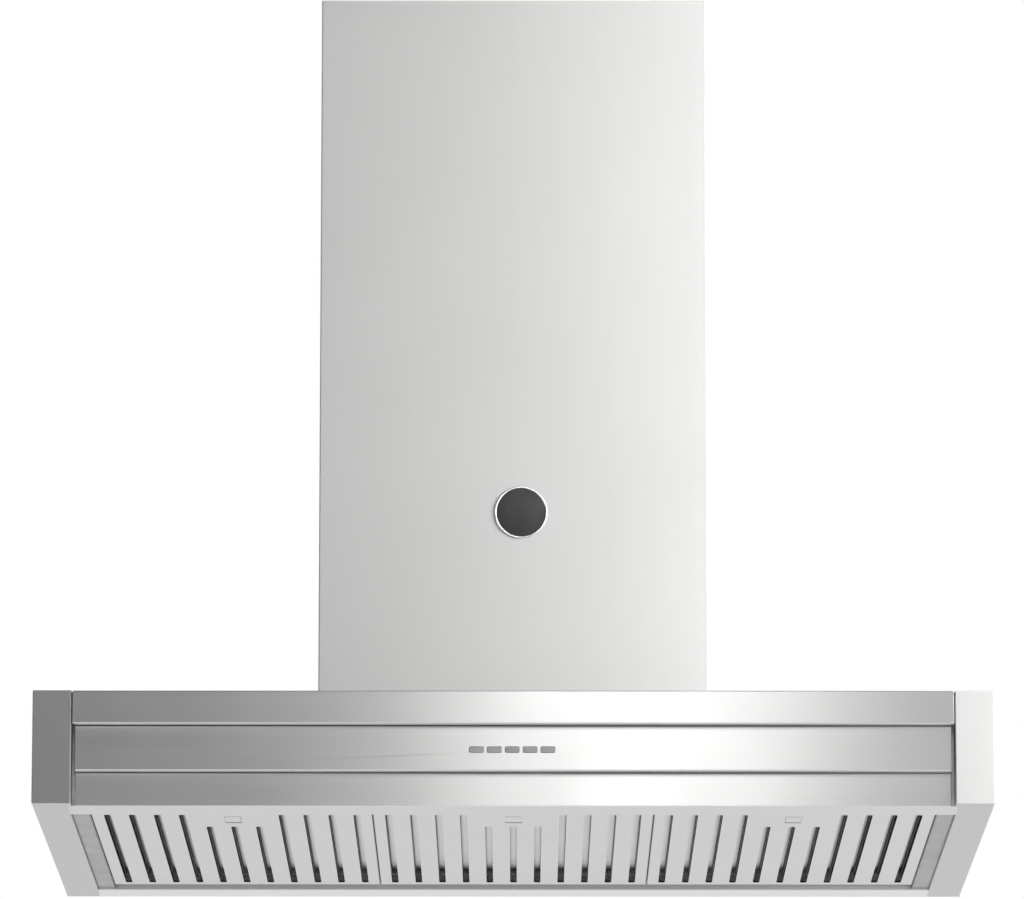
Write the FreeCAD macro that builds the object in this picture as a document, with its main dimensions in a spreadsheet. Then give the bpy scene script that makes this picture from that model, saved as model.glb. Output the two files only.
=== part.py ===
"""Wall chimney range hood: box canopy, three baffle filters, blower, damper and telescopic chimney.

Frame: millimetres, X to the right as seen from the front, Y towards the wall, Z up. The origin is the
centre of the canopy's underside. The canopy's front is at -Y and the wall plane is at +Y.
"""
import FreeCAD, Part
import Sketcher
import math
import operator
import os

DOC = FreeCAD.newDocument("ChimneyHood")
SHEET = DOC.addObject("Spreadsheet::Sheet", "Sizes")
NODES = []
EDGE_TOLERANCE = 0.01

# ---------------------------------------------------------------- sizes and expressions


class Size:
    """A length that knows both its value and the sheet expression that gives it."""

    def __init__(self, text, value):
        self.text = text
        self.value = value

    def __add__(self, other):
        return combine(self, "+", other)

    def __radd__(self, other):
        return combine(other, "+", self)

    def __sub__(self, other):
        return combine(self, "-", other)

    def __rsub__(self, other):
        return combine(other, "-", self)

    def __mul__(self, other):
        return combine(self, "*", other)

    def __rmul__(self, other):
        return combine(other, "*", self)

    def __truediv__(self, other):
        return combine(self, "/", other)

    def __neg__(self):
        return combine(0, "-", self)


OPERATIONS = {"+": operator.add, "-": operator.sub, "*": operator.mul, "/": operator.truediv}


def as_size(item):
    return item if isinstance(item, Size) else Size(f"{item:g}", float(item))


def combine(left, symbol, right):
    left = as_size(left)
    right = as_size(right)
    return Size(f"({left.text} {symbol} {right.text})", OPERATIONS[symbol](left.value, right.value))


def size(alias, value, meaning):
    """Write one driving size into the sheet and return it."""
    row = size.next_row
    size.next_row += 1
    SHEET.set(f"A{row}", alias)
    SHEET.set(f"B{row}", f"{value:g}")
    SHEET.set(f"C{row}", meaning)
    SHEET.setAlias(f"B{row}", alias)
    return Size(f"Sizes.{alias}", float(value))


size.next_row = 1

# canopy
hood_width = size("hood_width", 900, "canopy, side to side")
hood_depth = size("hood_depth", 600, "canopy, front to wall")
canopy_height = size("canopy_height", 107, "canopy, underside to top")
gauge = size("gauge", 1.0, "canopy sheet thickness")
fold_inside = size("fold_inside", 0.2, "inner radius of a visible fold")
bend_radius = gauge + fold_inside
post_width = size("post_width", 36.4, "front face of an end post")
post_gap = size("post_gap", 1.2, "gap between a post and the upper strip")
strip_end_gap = size("strip_end_gap", 3.5, "gap between a post and the two lower strips")
step_depth = size("step_depth", 10, "each strip stands this far behind the one above")
strip_gap = size("strip_gap", 0.4, "gap between one strip and the next")
control_strip_height = size("control_strip_height", 42.6, "middle strip")
lower_strip_height = size("lower_strip_height", 32.2, "lower strip")
front_flange = size("front_flange", 48, "underside flange behind the lower strip")
rear_flange = size("rear_flange", 42, "underside flange at the wall")
side_rim = size("side_rim", 33, "underside rim of a side panel")
front_lip = size("front_lip", 12, "upturned lip in front of the filters")
rear_lip = size("rear_lip", 14, "upturned lip behind the filters")
side_lip = size("side_lip", 14, "upturned lip beside a lamp")
hem = size("hem", 5, "hidden upturned hem of a strip")
joggle = size("joggle", 14, "ledge that carries the edge of the top panel")
bulkhead_setback = size("bulkhead_setback", 4, "bulkhead front face behind the lower strip's face")
clearance = size("clearance", 0.3, "running clearance between moving pieces")

# filters
filter_count = 3
filter_gap = size("filter_gap", 0.6, "gap between neighbouring filters")
filter_recess = size("filter_recess", 4, "filter face above the canopy's underside")
filter_height = size("filter_height", 22, "filter, face to top edge")
filter_gauge = size("filter_gauge", 0.8, "filter sheet thickness")
filter_front_gap = size("filter_front_gap", 2, "front lip to filter")
filter_rear_gap = size("filter_rear_gap", 15, "filter to rear lip")
slot_count = 11
short_slot_count = 3
slot_side_margin = size("slot_side_margin", 14.7, "outermost slot's middle to the filter's side")
slot_width = size("slot_width", 6.6, "clear width of a slot")
slot_front_margin = size("slot_front_margin", 25, "filter front to a long slot")
short_slot_setback = size("short_slot_setback", 72, "short slots start this far behind the long ones")
slot_rear_margin = size("slot_rear_margin", 13, "slot end to filter rear")
slot_collar = size("slot_collar", 0.8, "upstand round a slot, above the sheet")
baffle_rise = size("baffle_rise", 14.4, "upper baffle above the filter's face")
baffle_cover = size("baffle_cover", 0.8, "upper baffle reaches this far past each slot edge")
baffle_flange = size("baffle_flange", 6.1, "downturned flange of an upper baffle")
baffle_lead = size("baffle_lead", 3, "upper baffle starts this far ahead of its slot")
baffle_rear_gap = size("baffle_rear_gap", 5.2, "upper baffle ends this far before the filter's rear")
stay_width = size("stay_width", 14, "cross bar over the baffles")
stay_inset = size("stay_inset", 90, "cross bar from the front of the filter")
strap_width = size("strap_width", 8, "cross strap on the rear wall, under the baffles' rear ends")
hinge_radius = size("hinge_radius", 2, "rod that carries the filters' hooks")
hinge_height = size("hinge_height", 12, "rod axis above the underside")
hinge_setback = size("hinge_setback", 8, "rod axis in front of the rear lip")
bearing_gap = size("bearing_gap", 0.05, "radial clearance of a pin in its hole")
hook_wall = size("hook_wall", 2.2, "metal round the rod in a hook")
hook_width = size("hook_width", 4, "hook and rod bracket, along the rod")
hook_margin = size("hook_margin", 32.7, "hook from the filter's side")

# filter latches
latch_width = size("latch_width", 15, "finger plate of a latch")
latch_length = size("latch_length", 32, "finger plate, front to back")
latch_setback = size("latch_setback", 36, "finger plate behind the filter's front")
latch_travel = size("latch_travel", 6, "how far a latch draws back")
latch_gauge = size("latch_gauge", 1.5, "latch slider thickness")
latch_overlap = size("latch_overlap", 2.5, "slider wider than its window, each side")
tongue_width = size("tongue_width", 12, "tongue through the filter's front wall")
guide_wall = size("guide_wall", 0.8, "bridge that guides the latch")
guide_length = size("guide_length", 8, "bridge, front to back")

# lamps
lamp_gap = size("lamp_gap", 0.3, "gap beside a lamp")
lamp_width = size("lamp_width", 17.4, "lamp channel")
lamp_height = size("lamp_height", 16, "lamp channel")
lamp_recess = size("lamp_recess", 2, "lamp above the canopy's underside")
lamp_wall = size("lamp_wall", 1, "lamp channel wall")
lens_recess = size("lens_recess", 0.4, "lens above the channel's lower edge")
lens_thickness = size("lens_thickness", 2, "frosted lens")
led_board_width = size("led_board_width", 10, "lamp circuit board")
led_board_thickness = size("led_board_thickness", 1.6, "lamp circuit board")
led_size = size("led_size", 3, "one light-emitting chip")
led_count = 14

# buttons and controls
button_count = 5
button_width = size("button_width", 12.9, "button face")
button_height = size("button_height", 5.5, "button face")
button_pitch = size("button_pitch", 16.75, "button to button")
button_row_x = size("button_row_x", -1, "middle button from the hood's middle")
button_row_z = size("button_row_z", 52.5, "button row above the underside")
button_radius = size("button_radius", 1.2, "corner of a button")
button_stand = size("button_stand", 0.6, "button face in front of the strip")
button_travel = size("button_travel", 1, "how far a button presses in")
button_depth = size("button_depth", 4.4, "button body, front to back")
button_shoulder = size("button_shoulder", 1, "shoulder that keeps a button in")
shoulder_depth = size("shoulder_depth", 1, "shoulder thickness")
carrier_depth = size("carrier_depth", 6, "button carrier")
carrier_border = size("carrier_border", 6, "button carrier round the buttons")
board_thickness = size("board_thickness", 1.6, "circuit board")
switch_size = size("switch_size", 6, "push switch on the board")
cable_window = size("cable_window", 4, "bulkhead window past the control board")

# chimney
chimney_width = size("chimney_width", 381, "lower cover")
chimney_depth = size("chimney_depth", 300, "lower cover, front to wall")
chimney_height = size("chimney_height", 747, "lower cover above the canopy")
chimney_gauge = size("chimney_gauge", 0.8, "cover sheet thickness")
chimney_radius = size("chimney_radius", 1.5, "front corner of a cover")
chimney_return = size("chimney_return", 12, "inward return along the wall and along the canopy")
nest_gap = size("nest_gap", 0.6, "gap between the two covers")
upper_cover_length = size("upper_cover_length", 480, "upper cover")
top_setdown = size("top_setdown", 0.6, "upper cover below the lower cover's top edge")
stop_size = size("stop_size", 6, "block under the upper cover")
stop_height = size("stop_height", 20, "block under the upper cover")
stop_length = size("stop_length", 50, "block under the upper cover, front to back")
badge_x = size("badge_x", 7.2, "badge from the hood's middle")
badge_z = size("badge_z", 336, "badge above the underside")
badge_radius = size("badge_radius", 25.8, "badge ring, outside")
badge_disc_radius = size("badge_disc_radius", 24, "badge disc")
badge_thickness = size("badge_thickness", 1.8, "badge ring")
disc_thickness = size("disc_thickness", 1.0, "badge disc")

# blower
box_side_gap = size("box_side_gap", 5.7, "blower box foot to the chimney's foot")
box_front = size("box_front", 14, "blower box behind the chimney's front")
box_rear = size("box_rear", 10, "blower box in front of the wall")
box_height = size("box_height", 345, "blower box above the canopy")
box_flange = size("box_flange", 12, "foot of the blower box")
inlet_margin = size("inlet_margin", 6, "box wall to the canopy's blower opening")
scroll_width = size("scroll_width", 140, "blower scroll")
scroll_wall = size("scroll_wall", 2, "moulded scroll wall")
scroll_front_gap = size("scroll_front_gap", 20, "scroll to the front of the blower box")
scroll_rear_gap = size("scroll_rear_gap", 14, "scroll to the rear of the blower box")
scroll_z = size("scroll_z", 178, "impeller axis above the canopy")
wheel_width = size("wheel_width", 110, "impeller")
blade_depth = size("blade_depth", 13, "impeller blade, inside to outside")
blade_slant = size("blade_slant", 7, "impeller blade lean at its outer edge")
blade_thickness = size("blade_thickness", 1.0, "impeller blade")
blade_count = 36
ring_height = size("ring_height", 4, "impeller end ring along the axis")
disc_gauge = size("disc_gauge", 2, "impeller middle disc")
hub_radius = size("hub_radius", 12, "impeller hub")
hub_length = size("hub_length", 20, "impeller hub")
throat_gap = size("throat_gap", 12, "impeller to scroll at its narrowest")
scroll_growth = size("scroll_growth", 10, "scroll radius added in each quarter turn")
duct_setback = size("duct_setback", 5, "duct collar to the rear of the blower box")
inlet_lap = size("inlet_lap", 10, "scroll side inlet inside the impeller's edge")
shaft_radius = size("shaft_radius", 4, "motor shaft")
motor_radius = size("motor_radius", 46, "motor")
motor_length = size("motor_length", 62, "motor")
motor_tip_gap = size("motor_tip_gap", 8, "motor to impeller hub")
bracket_gauge = size("bracket_gauge", 2.5, "motor bracket")
bracket_arm = size("bracket_arm", 14, "motor bracket arm")
bracket_margin = size("bracket_margin", 12, "motor fixings outside the side inlet")
bracket_arms = 3
grommet_radius = size("grommet_radius", 7, "rubber grommet")
grommet_length = size("grommet_length", 4, "rubber grommet")

# outlet and damper
collar_radius = size("collar_radius", 75, "duct collar, outside")
collar_gauge = size("collar_gauge", 1.5, "duct collar wall")
collar_height = size("collar_height", 80, "duct collar above the blower box")
collar_flange = size("collar_flange", 12, "duct collar foot")
collar_step = size("collar_step", 2, "step at the collar's foot, which keeps a duct off the screws")
flap_rise = size("flap_rise", 30, "damper pin above the blower box")
flap_gap = size("flap_gap", 1.5, "flap edge to collar")
flap_gauge = size("flap_gauge", 1, "damper flap")
flap_hinge_gap = size("flap_hinge_gap", 4, "flap plate to pin axis")
pin_radius = size("pin_radius", 1.5, "damper pin")
knuckle_radius = size("knuckle_radius", 2.8, "flap knuckle")
knuckle_length = size("knuckle_length", 24, "flap knuckle")
seat_width = size("seat_width", 4, "ledge the flaps rest on")
outlet_margin = size("outlet_margin", 3, "box outlet hole inside the collar")

# fasteners and electrics
screw_radius = size("screw_radius", 2, "screw shank")
screw_head_radius = size("screw_head_radius", 3.8, "screw head")
screw_head_height = size("screw_head_height", 2.2, "screw head")
screw_gap = size("screw_gap", 0.1, "screw to its hole")
screw_reach = size("screw_reach", 4, "screw past the lower sheet")
wall_hole_radius = size("wall_hole_radius", 4, "hole for a wall screw")
wall_hole_spacing_x = size("wall_hole_spacing_x", 600, "wall holes, side to side")
wall_hole_spacing_z = size("wall_hole_spacing_z", 56, "wall holes, low to high")
wall_hole_margin = size("wall_hole_margin", 22, "upper wall holes below the canopy's top")
gland_radius = size("gland_radius", 9, "cable gland")
gland_bore = size("gland_bore", 4.5, "cable gland bore radius")
gland_length = size("gland_length", 22, "cable gland")
terminal_width = size("terminal_width", 64, "terminal box")
terminal_depth = size("terminal_depth", 46, "terminal box")
terminal_height = size("terminal_height", 30, "terminal box")
electronics_width = size("electronics_width", 150, "electronics box")
driver_width = size("driver_width", 90, "lamp driver")
electronics_height = size("electronics_height", 60, "electronics box")
compartment_gap = size("compartment_gap", 3, "boxes clear of the compartment's roof")
capacitor_radius = size("capacitor_radius", 14, "motor capacitor")
capacitor_length = size("capacitor_length", 60, "motor capacitor")
wire_radius = size("wire_radius", 3, "wiring loom")
loom_bend = size("loom_bend", 18, "largest bend of the wiring loom")
loom_drop = size("loom_drop", 40, "straight drop of the loom under the box top")
loom_slope = size("loom_slope", 50, "drop over which the loom comes forward inside the box")
loom_turn = size("loom_turn", 200, "loom turns towards the controls this far behind the canopy's front")
loom_finish = size("loom_finish", 140, "loom's last straight run starts this far behind the front")
DOC.recompute()

# places worked out from the sizes
half_width = hood_width / 2
front_y = -(hood_depth / 2)
wall_y = hood_depth / 2
post_inner_x = half_width - post_width
strip_end_x = post_inner_x - strip_end_gap
rim_inner_x = half_width - side_rim
flange_end_x = rim_inner_x - screw_gap
control_face_y = front_y + step_depth
lower_face_y = control_face_y + step_depth
bulkhead_y = lower_face_y + bulkhead_setback
lip_y = lower_face_y + front_flange
rear_lip_y = wall_y - rear_flange
wall_hole_z = canopy_height - wall_hole_margin - wall_hole_spacing_z / 2
control_bottom_z = lower_strip_height + strip_gap
control_top_z = control_bottom_z + control_strip_height
upper_bottom_z = control_top_z + strip_gap
roof_z = canopy_height - gauge
hinge_y = rear_lip_y - hinge_setback
lamp_outer_x = rim_inner_x - lamp_gap
lamp_inner_x = lamp_outer_x - lamp_width
filter_half = (lamp_inner_x * 2 - filter_gap * (filter_count + 1)) / (2 * filter_count)
filter_pitch = filter_half * 2 + filter_gap
slot_pitch = (filter_half - slot_side_margin) * 2 / (slot_count - 1)
hook_offset = filter_half - hook_margin
filter_front_y = lip_y + filter_front_gap
filter_rear_y = rear_lip_y - filter_rear_gap
face_top_z = filter_recess + filter_gauge
filter_top_z = filter_recess + filter_height
chimney_front_y = wall_y - chimney_depth
chimney_half = chimney_width / 2
chimney_top_z = canopy_height + chimney_height
upper_top_z = chimney_top_z - top_setdown
upper_bottom_cover_z = upper_top_z - upper_cover_length
box_half = chimney_half - chimney_gauge - chimney_return - box_side_gap - box_flange
box_front_y = chimney_front_y + box_front
box_rear_y = wall_y - box_rear
box_top_z = canopy_height + box_height
box_inside_depth = box_rear_y - box_front_y - gauge * 2
throat_radius = (box_inside_depth - scroll_front_gap - scroll_rear_gap - scroll_growth * 4) / 2
wheel_radius = throat_radius - throat_gap
inlet_radius = wheel_radius - inlet_lap
bracket_radius = inlet_radius + bracket_margin
axis_y = box_front_y + gauge + scroll_front_gap + throat_radius + scroll_growth
axis_z = canopy_height + scroll_z
mouth_depth = throat_radius + scroll_growth * 3
mouth_front_y = axis_y
duct_y = box_rear_y - collar_radius - duct_setback
flap_z = box_top_z + flap_rise
filter_names = ("left", "middle", "right")

# ---------------------------------------------------------------- building helpers


def node(label, item):
    """Name a finished sub-part; its label is the name of its file."""
    item.Label = label
    NODES.append(item)
    return item


def put(item, x, y, z):
    for axis, place in (("x", x), ("y", y), ("z", z)):
        item.setExpression(f"Placement.Base.{axis}", as_size(place).text)


def block(name, x, y, z):
    """A block between a low and a high place on each axis."""
    item = DOC.addObject("Part::Box", name)
    for side, span in (("Length", x), ("Width", y), ("Height", z)):
        item.setExpression(side, (as_size(span[1]) - span[0]).text)
    put(item, x[0], y[0], z[0])
    return item


TURNS = {
    "X": FreeCAD.Rotation(FreeCAD.Vector(0, 1, 0), 90),
    "Y": FreeCAD.Rotation(FreeCAD.Vector(1, 0, 0), -90),
    "Z": FreeCAD.Rotation(),
}


def rod(name, axis, centre, radius, span):
    """A cylinder along an axis; centre holds the other two places, in X, Y, Z order."""
    item = DOC.addObject("Part::Cylinder", name)
    item.setExpression("Radius", as_size(radius).text)
    item.setExpression("Height", (as_size(span[1]) - span[0]).text)
    item.Placement = FreeCAD.Placement(FreeCAD.Vector(), TURNS[axis])
    places = list(centre)
    places.insert("XYZ".index(axis), span[0])
    put(item, *places)
    return item


def cut(name, base, tools):
    item = DOC.addObject("Part::Cut", name)
    item.Base = base
    item.Tool = tools[0] if len(tools) == 1 else join(name + "_tools", tools)
    return item


def join(name, items):
    item = DOC.addObject("Part::MultiFuse", name)
    item.Shapes = items
    return item


def group(name, items):
    """Separate solids kept in one sub-part."""
    item = DOC.addObject("Part::Compound", name)
    item.Links = items
    return item


def mirror_x(name, source):
    item = DOC.addObject("Part::Mirroring", name)
    item.Source = source
    item.Normal = FreeCAD.Vector(1, 0, 0)
    return item


def tube(name, axis, centre, outer, inner, span):
    solid = rod(name + "_solid", axis, centre, outer, span)
    bore = rod(name + "_bore", axis, centre, inner, span)
    return cut(name, solid, [bore])


def body(label):
    return DOC.addObject("PartDesign::Body", label)


def sketch_on(owner, plane, name, offset=0):
    """An empty sketch on one of the body's own planes, moved along the plane's normal."""
    sketch = owner.newObject("Sketcher::SketchObject", name)
    support = next(part for part in owner.Origin.OriginFeatures if part.Role == plane)
    sketch.AttachmentSupport = [(support, "")]
    sketch.MapMode = "FlatFace"
    sketch.setExpression("AttachmentOffset.Base.z", as_size(offset).text)
    return sketch


def bind(sketch, kind, name, *place_and_size):
    """Add one dimension and bind it to the sheet."""
    places = place_and_size[:-1]
    length = as_size(place_and_size[-1])
    index = sketch.addConstraint(Sketcher.Constraint(kind, *places, length.value))
    sketch.renameConstraint(index, name)
    sketch.setExpression(f"Constraints.{name}", length.text)


def add_outline(sketch, corners):
    """A closed outline of straight sides, each corner bound to the sheet."""
    corners = [(as_size(u), as_size(v)) for u, v in corners]
    first = sketch.GeometryCount
    points = [FreeCAD.Vector(u.value, v.value, 0) for u, v in corners]
    total = len(points)
    for index in range(total):
        sketch.addGeometry(Part.LineSegment(points[index], points[(index + 1) % total]), False)
    for index in range(total):
        following = first + (index + 1) % total
        sketch.addConstraint(Sketcher.Constraint("Coincident", first + index, 2, following, 1))
    for index, (u, v) in enumerate(corners):
        bind(sketch, "DistanceX", f"u{first + index}", -1, 1, first + index, 1, u)
        bind(sketch, "DistanceY", f"v{first + index}", -1, 1, first + index, 1, v)


def rectangle(u, v):
    return [(u[0], v[0]), (u[1], v[0]), (u[1], v[1]), (u[0], v[1])]


def add_slot(sketch, u, v, width):
    """A round-ended slot along v."""
    u = as_size(u)
    radius = as_size(width) / 2
    low = as_size(v[0]) + radius
    high = as_size(v[1]) - radius
    first = sketch.GeometryCount
    up = FreeCAD.Vector(0, 0, 1)
    bottom = Part.Circle(FreeCAD.Vector(u.value, low.value, 0), up, radius.value)
    top = Part.Circle(FreeCAD.Vector(u.value, high.value, 0), up, radius.value)
    left = u.value - radius.value
    right = u.value + radius.value
    sketch.addGeometry(Part.ArcOfCircle(bottom, math.pi, 2 * math.pi), False)
    right_side = Part.LineSegment(FreeCAD.Vector(right, low.value, 0), FreeCAD.Vector(right, high.value, 0))
    sketch.addGeometry(right_side, False)
    sketch.addGeometry(Part.ArcOfCircle(top, 0, math.pi), False)
    left_side = Part.LineSegment(FreeCAD.Vector(left, high.value, 0), FreeCAD.Vector(left, low.value, 0))
    sketch.addGeometry(left_side, False)
    for index in range(4):
        following = first + (index + 1) % 4
        sketch.addConstraint(Sketcher.Constraint("Tangent", first + index, 2, following, 1))
    bind(sketch, "DistanceX", f"u{first}", -1, 1, first, 3, u)
    bind(sketch, "DistanceX", f"w{first}", -1, 1, first + 2, 3, u)
    bind(sketch, "DistanceY", f"low{first}", -1, 1, first, 3, low)
    bind(sketch, "DistanceY", f"high{first}", -1, 1, first + 2, 3, high)
    bind(sketch, "Radius", f"radius{first}", first, radius)


def pad(owner, sketch, length, name):
    feature = owner.newObject("PartDesign::Pad", name)
    feature.Profile = sketch
    feature.setExpression("Length", as_size(length).text)
    return feature


def pocket(owner, sketch, name, depth=None):
    """Cut a set depth on both sides of the sketch, or right through."""
    feature = owner.newObject("PartDesign::Pocket", name)
    feature.Profile = sketch
    feature.Midplane = True
    if depth is None:
        feature.Type = "ThroughAll"
    else:
        feature.setExpression("Length", (as_size(depth) * 2).text)
    return feature


def sign(number):
    return (number > 1e-9) - (number < -1e-9)


def folded(path, thickness):
    """The outline of a sheet that follows a path of square bends, on the path's left."""
    path = [(as_size(u), as_size(v)) for u, v in path]
    normals = []
    for (u0, v0), (u1, v1) in zip(path, path[1:]):
        normals.append((-sign(v1.value - v0.value), sign(u1.value - u0.value)))
    inner = []
    for index, (u, v) in enumerate(path):
        beside = {normals[max(index - 1, 0)], normals[min(index, len(normals) - 1)]}
        shift_u = sum(normal[0] for normal in beside)
        shift_v = sum(normal[1] for normal in beside)
        inner.append((u + thickness * shift_u, v + thickness * shift_v))
    return path + inner[::-1]


def folded_sheet(owner, name, path, thickness, x):
    """Pad a folded outline of the Y-Z plane from one X to another."""
    sketch = sketch_on(owner, "YZ_Plane", name + "_outline", x[0])
    add_outline(sketch, folded(path, thickness))
    return pad(owner, sketch, as_size(x[1]) - x[0], name)


def edges_at(shape, axis, places):
    """The names of the edges that run along an axis through the given places (other two axes, in order)."""
    along = "XYZ".index(axis)
    across = [index for index in range(3) if index != along]
    spots = [[as_size(value).value for value in place] for place in places]
    found = []
    for index, edge in enumerate(shape.Edges):
        middle = edge.BoundBox.Center
        extent = (edge.BoundBox.XLength, edge.BoundBox.YLength, edge.BoundBox.ZLength)
        if max(extent[across[0]], extent[across[1]]) > EDGE_TOLERANCE or extent[along] < EDGE_TOLERANCE:
            continue
        for spot in spots:
            misses = [abs(middle[across[side]] - spot[side]) for side in (0, 1)]
            if max(misses) < EDGE_TOLERANCE:
                found.append(f"Edge{index + 1}")
    return found


def round_edges(owner, name, radius, places_by_axis):
    """Round edges of the body's last feature, all in one fillet."""
    DOC.recompute()
    base = owner.Tip
    wanted = []
    for axis, places in places_by_axis.items():
        wanted += edges_at(base.Shape, axis, places)
    fillet = owner.newObject("PartDesign::Fillet", name)
    fillet.Base = (base, wanted)
    fillet.setExpression("Radius", as_size(radius).text)
    return fillet


def screw_holes(name, axis, centres, span):
    return [rod(f"{name}_{index}", axis, centre, screw_radius + screw_gap, span)
            for index, centre in enumerate(centres)]


# ---------------------------------------------------------------- canopy


def box_screw_places():
    """Screws through the blower box's foot: along the front, the back and both sides."""
    side_x = box_half + box_flange / 2
    front = box_front_y + box_flange
    rear = box_rear_y - box_flange
    return [(-side_x, front), (-side_x, (front + rear) / 2), (-side_x, rear),
            (side_x, front), (side_x, (front + rear) / 2), (side_x, rear)]


def chimney_screw_places():
    inset = chimney_half - chimney_gauge - chimney_return / 2
    third = chimney_depth / 3
    return [(side * inset, chimney_front_y + third * step) for side in (-1, 1) for step in (1, 2)]


def canopy_top():
    panel = body("canopy_top_sheet")
    path = [(wall_y - gauge, canopy_height), (front_y, canopy_height), (front_y, upper_bottom_z),
            (control_face_y - strip_gap, upper_bottom_z), (control_face_y - strip_gap, upper_bottom_z + hem)]
    end_x = post_inner_x - post_gap
    folded_sheet(panel, "top_and_upper_strip", path, gauge, (-end_x, end_x))
    opening = sketch_on(panel, "XY_Plane", "blower_opening", canopy_height)
    inlet_x = box_half - inlet_margin
    add_outline(opening, rectangle((-inlet_x, inlet_x), (box_front_y + inlet_margin, box_rear_y - inlet_margin)))
    pocket(panel, opening, "blower_opening_cut")
    round_edges(panel, "upper_strip_folds", bend_radius,
                {"X": [(front_y, canopy_height), (front_y, upper_bottom_z)]})
    holes = screw_holes("roof_hole", "Z", box_screw_places() + chimney_screw_places(), (roof_z, canopy_height))
    node("canopy_top", cut("canopy_top_drilled", panel, holes))


def side_panels():
    panel = body("side_panel_sheet")
    section = sketch_on(panel, "XZ_Plane", "side_section", -front_y)
    path = [(-post_inner_x, roof_z - gauge), (-post_inner_x, canopy_height), (-half_width, canopy_height),
            (-half_width, 0), (-rim_inner_x, 0), (-rim_inner_x, side_lip)]
    add_outline(section, folded(path, gauge))
    run = pad(panel, section, hood_depth - gauge, "side_run")
    run.Reversed = True
    face = sketch_on(panel, "XZ_Plane", "post_face_outline", -front_y)
    add_outline(face, rectangle((-half_width, -post_inner_x), (0, canopy_height)))
    face_pad = pad(panel, face, gauge, "post_face")
    face_pad.Reversed = True
    return_x = (-(post_inner_x + gauge), -post_inner_x)
    fold_y = lower_face_y - screw_gap
    inner = sketch_on(panel, "XY_Plane", "post_return_outline")
    add_outline(inner, rectangle(return_x, (front_y, fold_y)))
    pad(panel, inner, canopy_height, "post_return")
    tail = sketch_on(panel, "XY_Plane", "post_tail_outline", gauge + clearance)
    add_outline(tail, rectangle(return_x, (fold_y - gauge, bulkhead_y)))
    pad(panel, tail, canopy_height - gauge - clearance, "post_tail")
    ledge = sketch_on(panel, "XY_Plane", "ledge_outline", roof_z - gauge)
    ledge_x = (-(post_inner_x + gauge / 2), -(post_inner_x - joggle))
    add_outline(ledge, rectangle(ledge_x, (front_y + bend_radius * 2, wall_y - gauge)))
    pad(panel, ledge, gauge, "ledge")
    foot = sketch_on(panel, "XY_Plane", "post_foot_outline")
    add_outline(foot, rectangle((-(rim_inner_x + gauge), -post_inner_x), (front_y, fold_y)))
    pad(panel, foot, gauge, "post_foot")
    round_edges(panel, "side_panel_folds", bend_radius,
                {"Z": [(-half_width, front_y), (-post_inner_x, front_y)],
                 "Y": [(-half_width, canopy_height), (-half_width, 0)]})
    left = node("left_side_panel", panel)
    node("right_side_panel", mirror_x("right_side_panel_sheet", left))


def rear_panel():
    panel = body("rear_panel_sheet")
    wall = sketch_on(panel, "XZ_Plane", "rear_wall_outline", -wall_y)
    add_outline(wall, rectangle((-half_width, half_width), (0, canopy_height)))
    pad(panel, wall, gauge, "rear_wall")
    path = [(rear_lip_y, rear_lip), (rear_lip_y, 0), (wall_y, 0)]
    folded_sheet(panel, "rear_flange_sheet", path, gauge, (-flange_end_x, flange_end_x))
    round_edges(panel, "rear_flange_fold", bend_radius, {"X": [(rear_lip_y, 0)]})
    lug_front = hinge_y - hinge_radius - hook_wall
    lug_rise = hinge_radius + hook_wall / 2
    lugs = []
    for index in range(filter_count + 1):
        middle = filter_pitch * (index - filter_count / 2)
        inward = -sign(index - filter_count / 2) if index in (0, filter_count) else 0
        middle = middle + inward * (hook_width * 2)
        lugs.append(block(f"rod_bracket_{index}", (middle - hook_width / 2, middle + hook_width / 2),
                          (lug_front, rear_lip_y), (hinge_height - lug_rise, hinge_height + lug_rise)))
    rod_hole = rod("rod_bracket_hole", "X", (hinge_y, hinge_height), hinge_radius, (-lamp_inner_x, lamp_inner_x))
    holes = [rod(f"wall_hole_{side}_{level}", "Y",
                 (wall_hole_spacing_x / 2 * side, wall_hole_z + wall_hole_spacing_z / 2 * level),
                 wall_hole_radius, (wall_y - gauge * 2, wall_y + gauge))
             for side in (-1, 1) for level in (-1, 1)]
    solid = join("rear_panel_solid", [panel] + lugs)
    node("rear_panel", cut("rear_panel_drilled", solid, holes + [rod_hole]))
    rod_end = filter_pitch * filter_count / 2 - hook_width
    node("filter_hinge_rod", rod("hinge_rod_bar", "X", (hinge_y, hinge_height), hinge_radius, (-rod_end, rod_end)))


def control_strip():
    strip = body("control_strip_sheet")
    path = [(bulkhead_y, control_top_z), (control_face_y, control_top_z), (control_face_y, control_bottom_z),
            (lower_face_y - strip_gap, control_bottom_z), (lower_face_y - strip_gap, control_bottom_z + hem)]
    folded_sheet(strip, "control_strip_fold", path, gauge, (-strip_end_x, strip_end_x))
    windows = sketch_on(strip, "XZ_Plane", "button_windows", -control_face_y)
    corners = []
    for x in button_places():
        half = button_width / 2 + clearance
        rise = button_height / 2 + clearance
        add_outline(windows, rectangle((x - half, x + half), (button_row_z - rise, button_row_z + rise)))
        corners += [(x + half * a, button_row_z + rise * b) for a in (-1, 1) for b in (-1, 1)]
    pocket(strip, windows, "button_windows_cut", gauge)
    round_edges(strip, "window_corners", button_radius + clearance, {"Y": corners})
    round_edges(strip, "control_strip_folds", bend_radius,
                {"X": [(control_face_y, control_top_z), (control_face_y, control_bottom_z)]})
    node("control_strip", strip)


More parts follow.
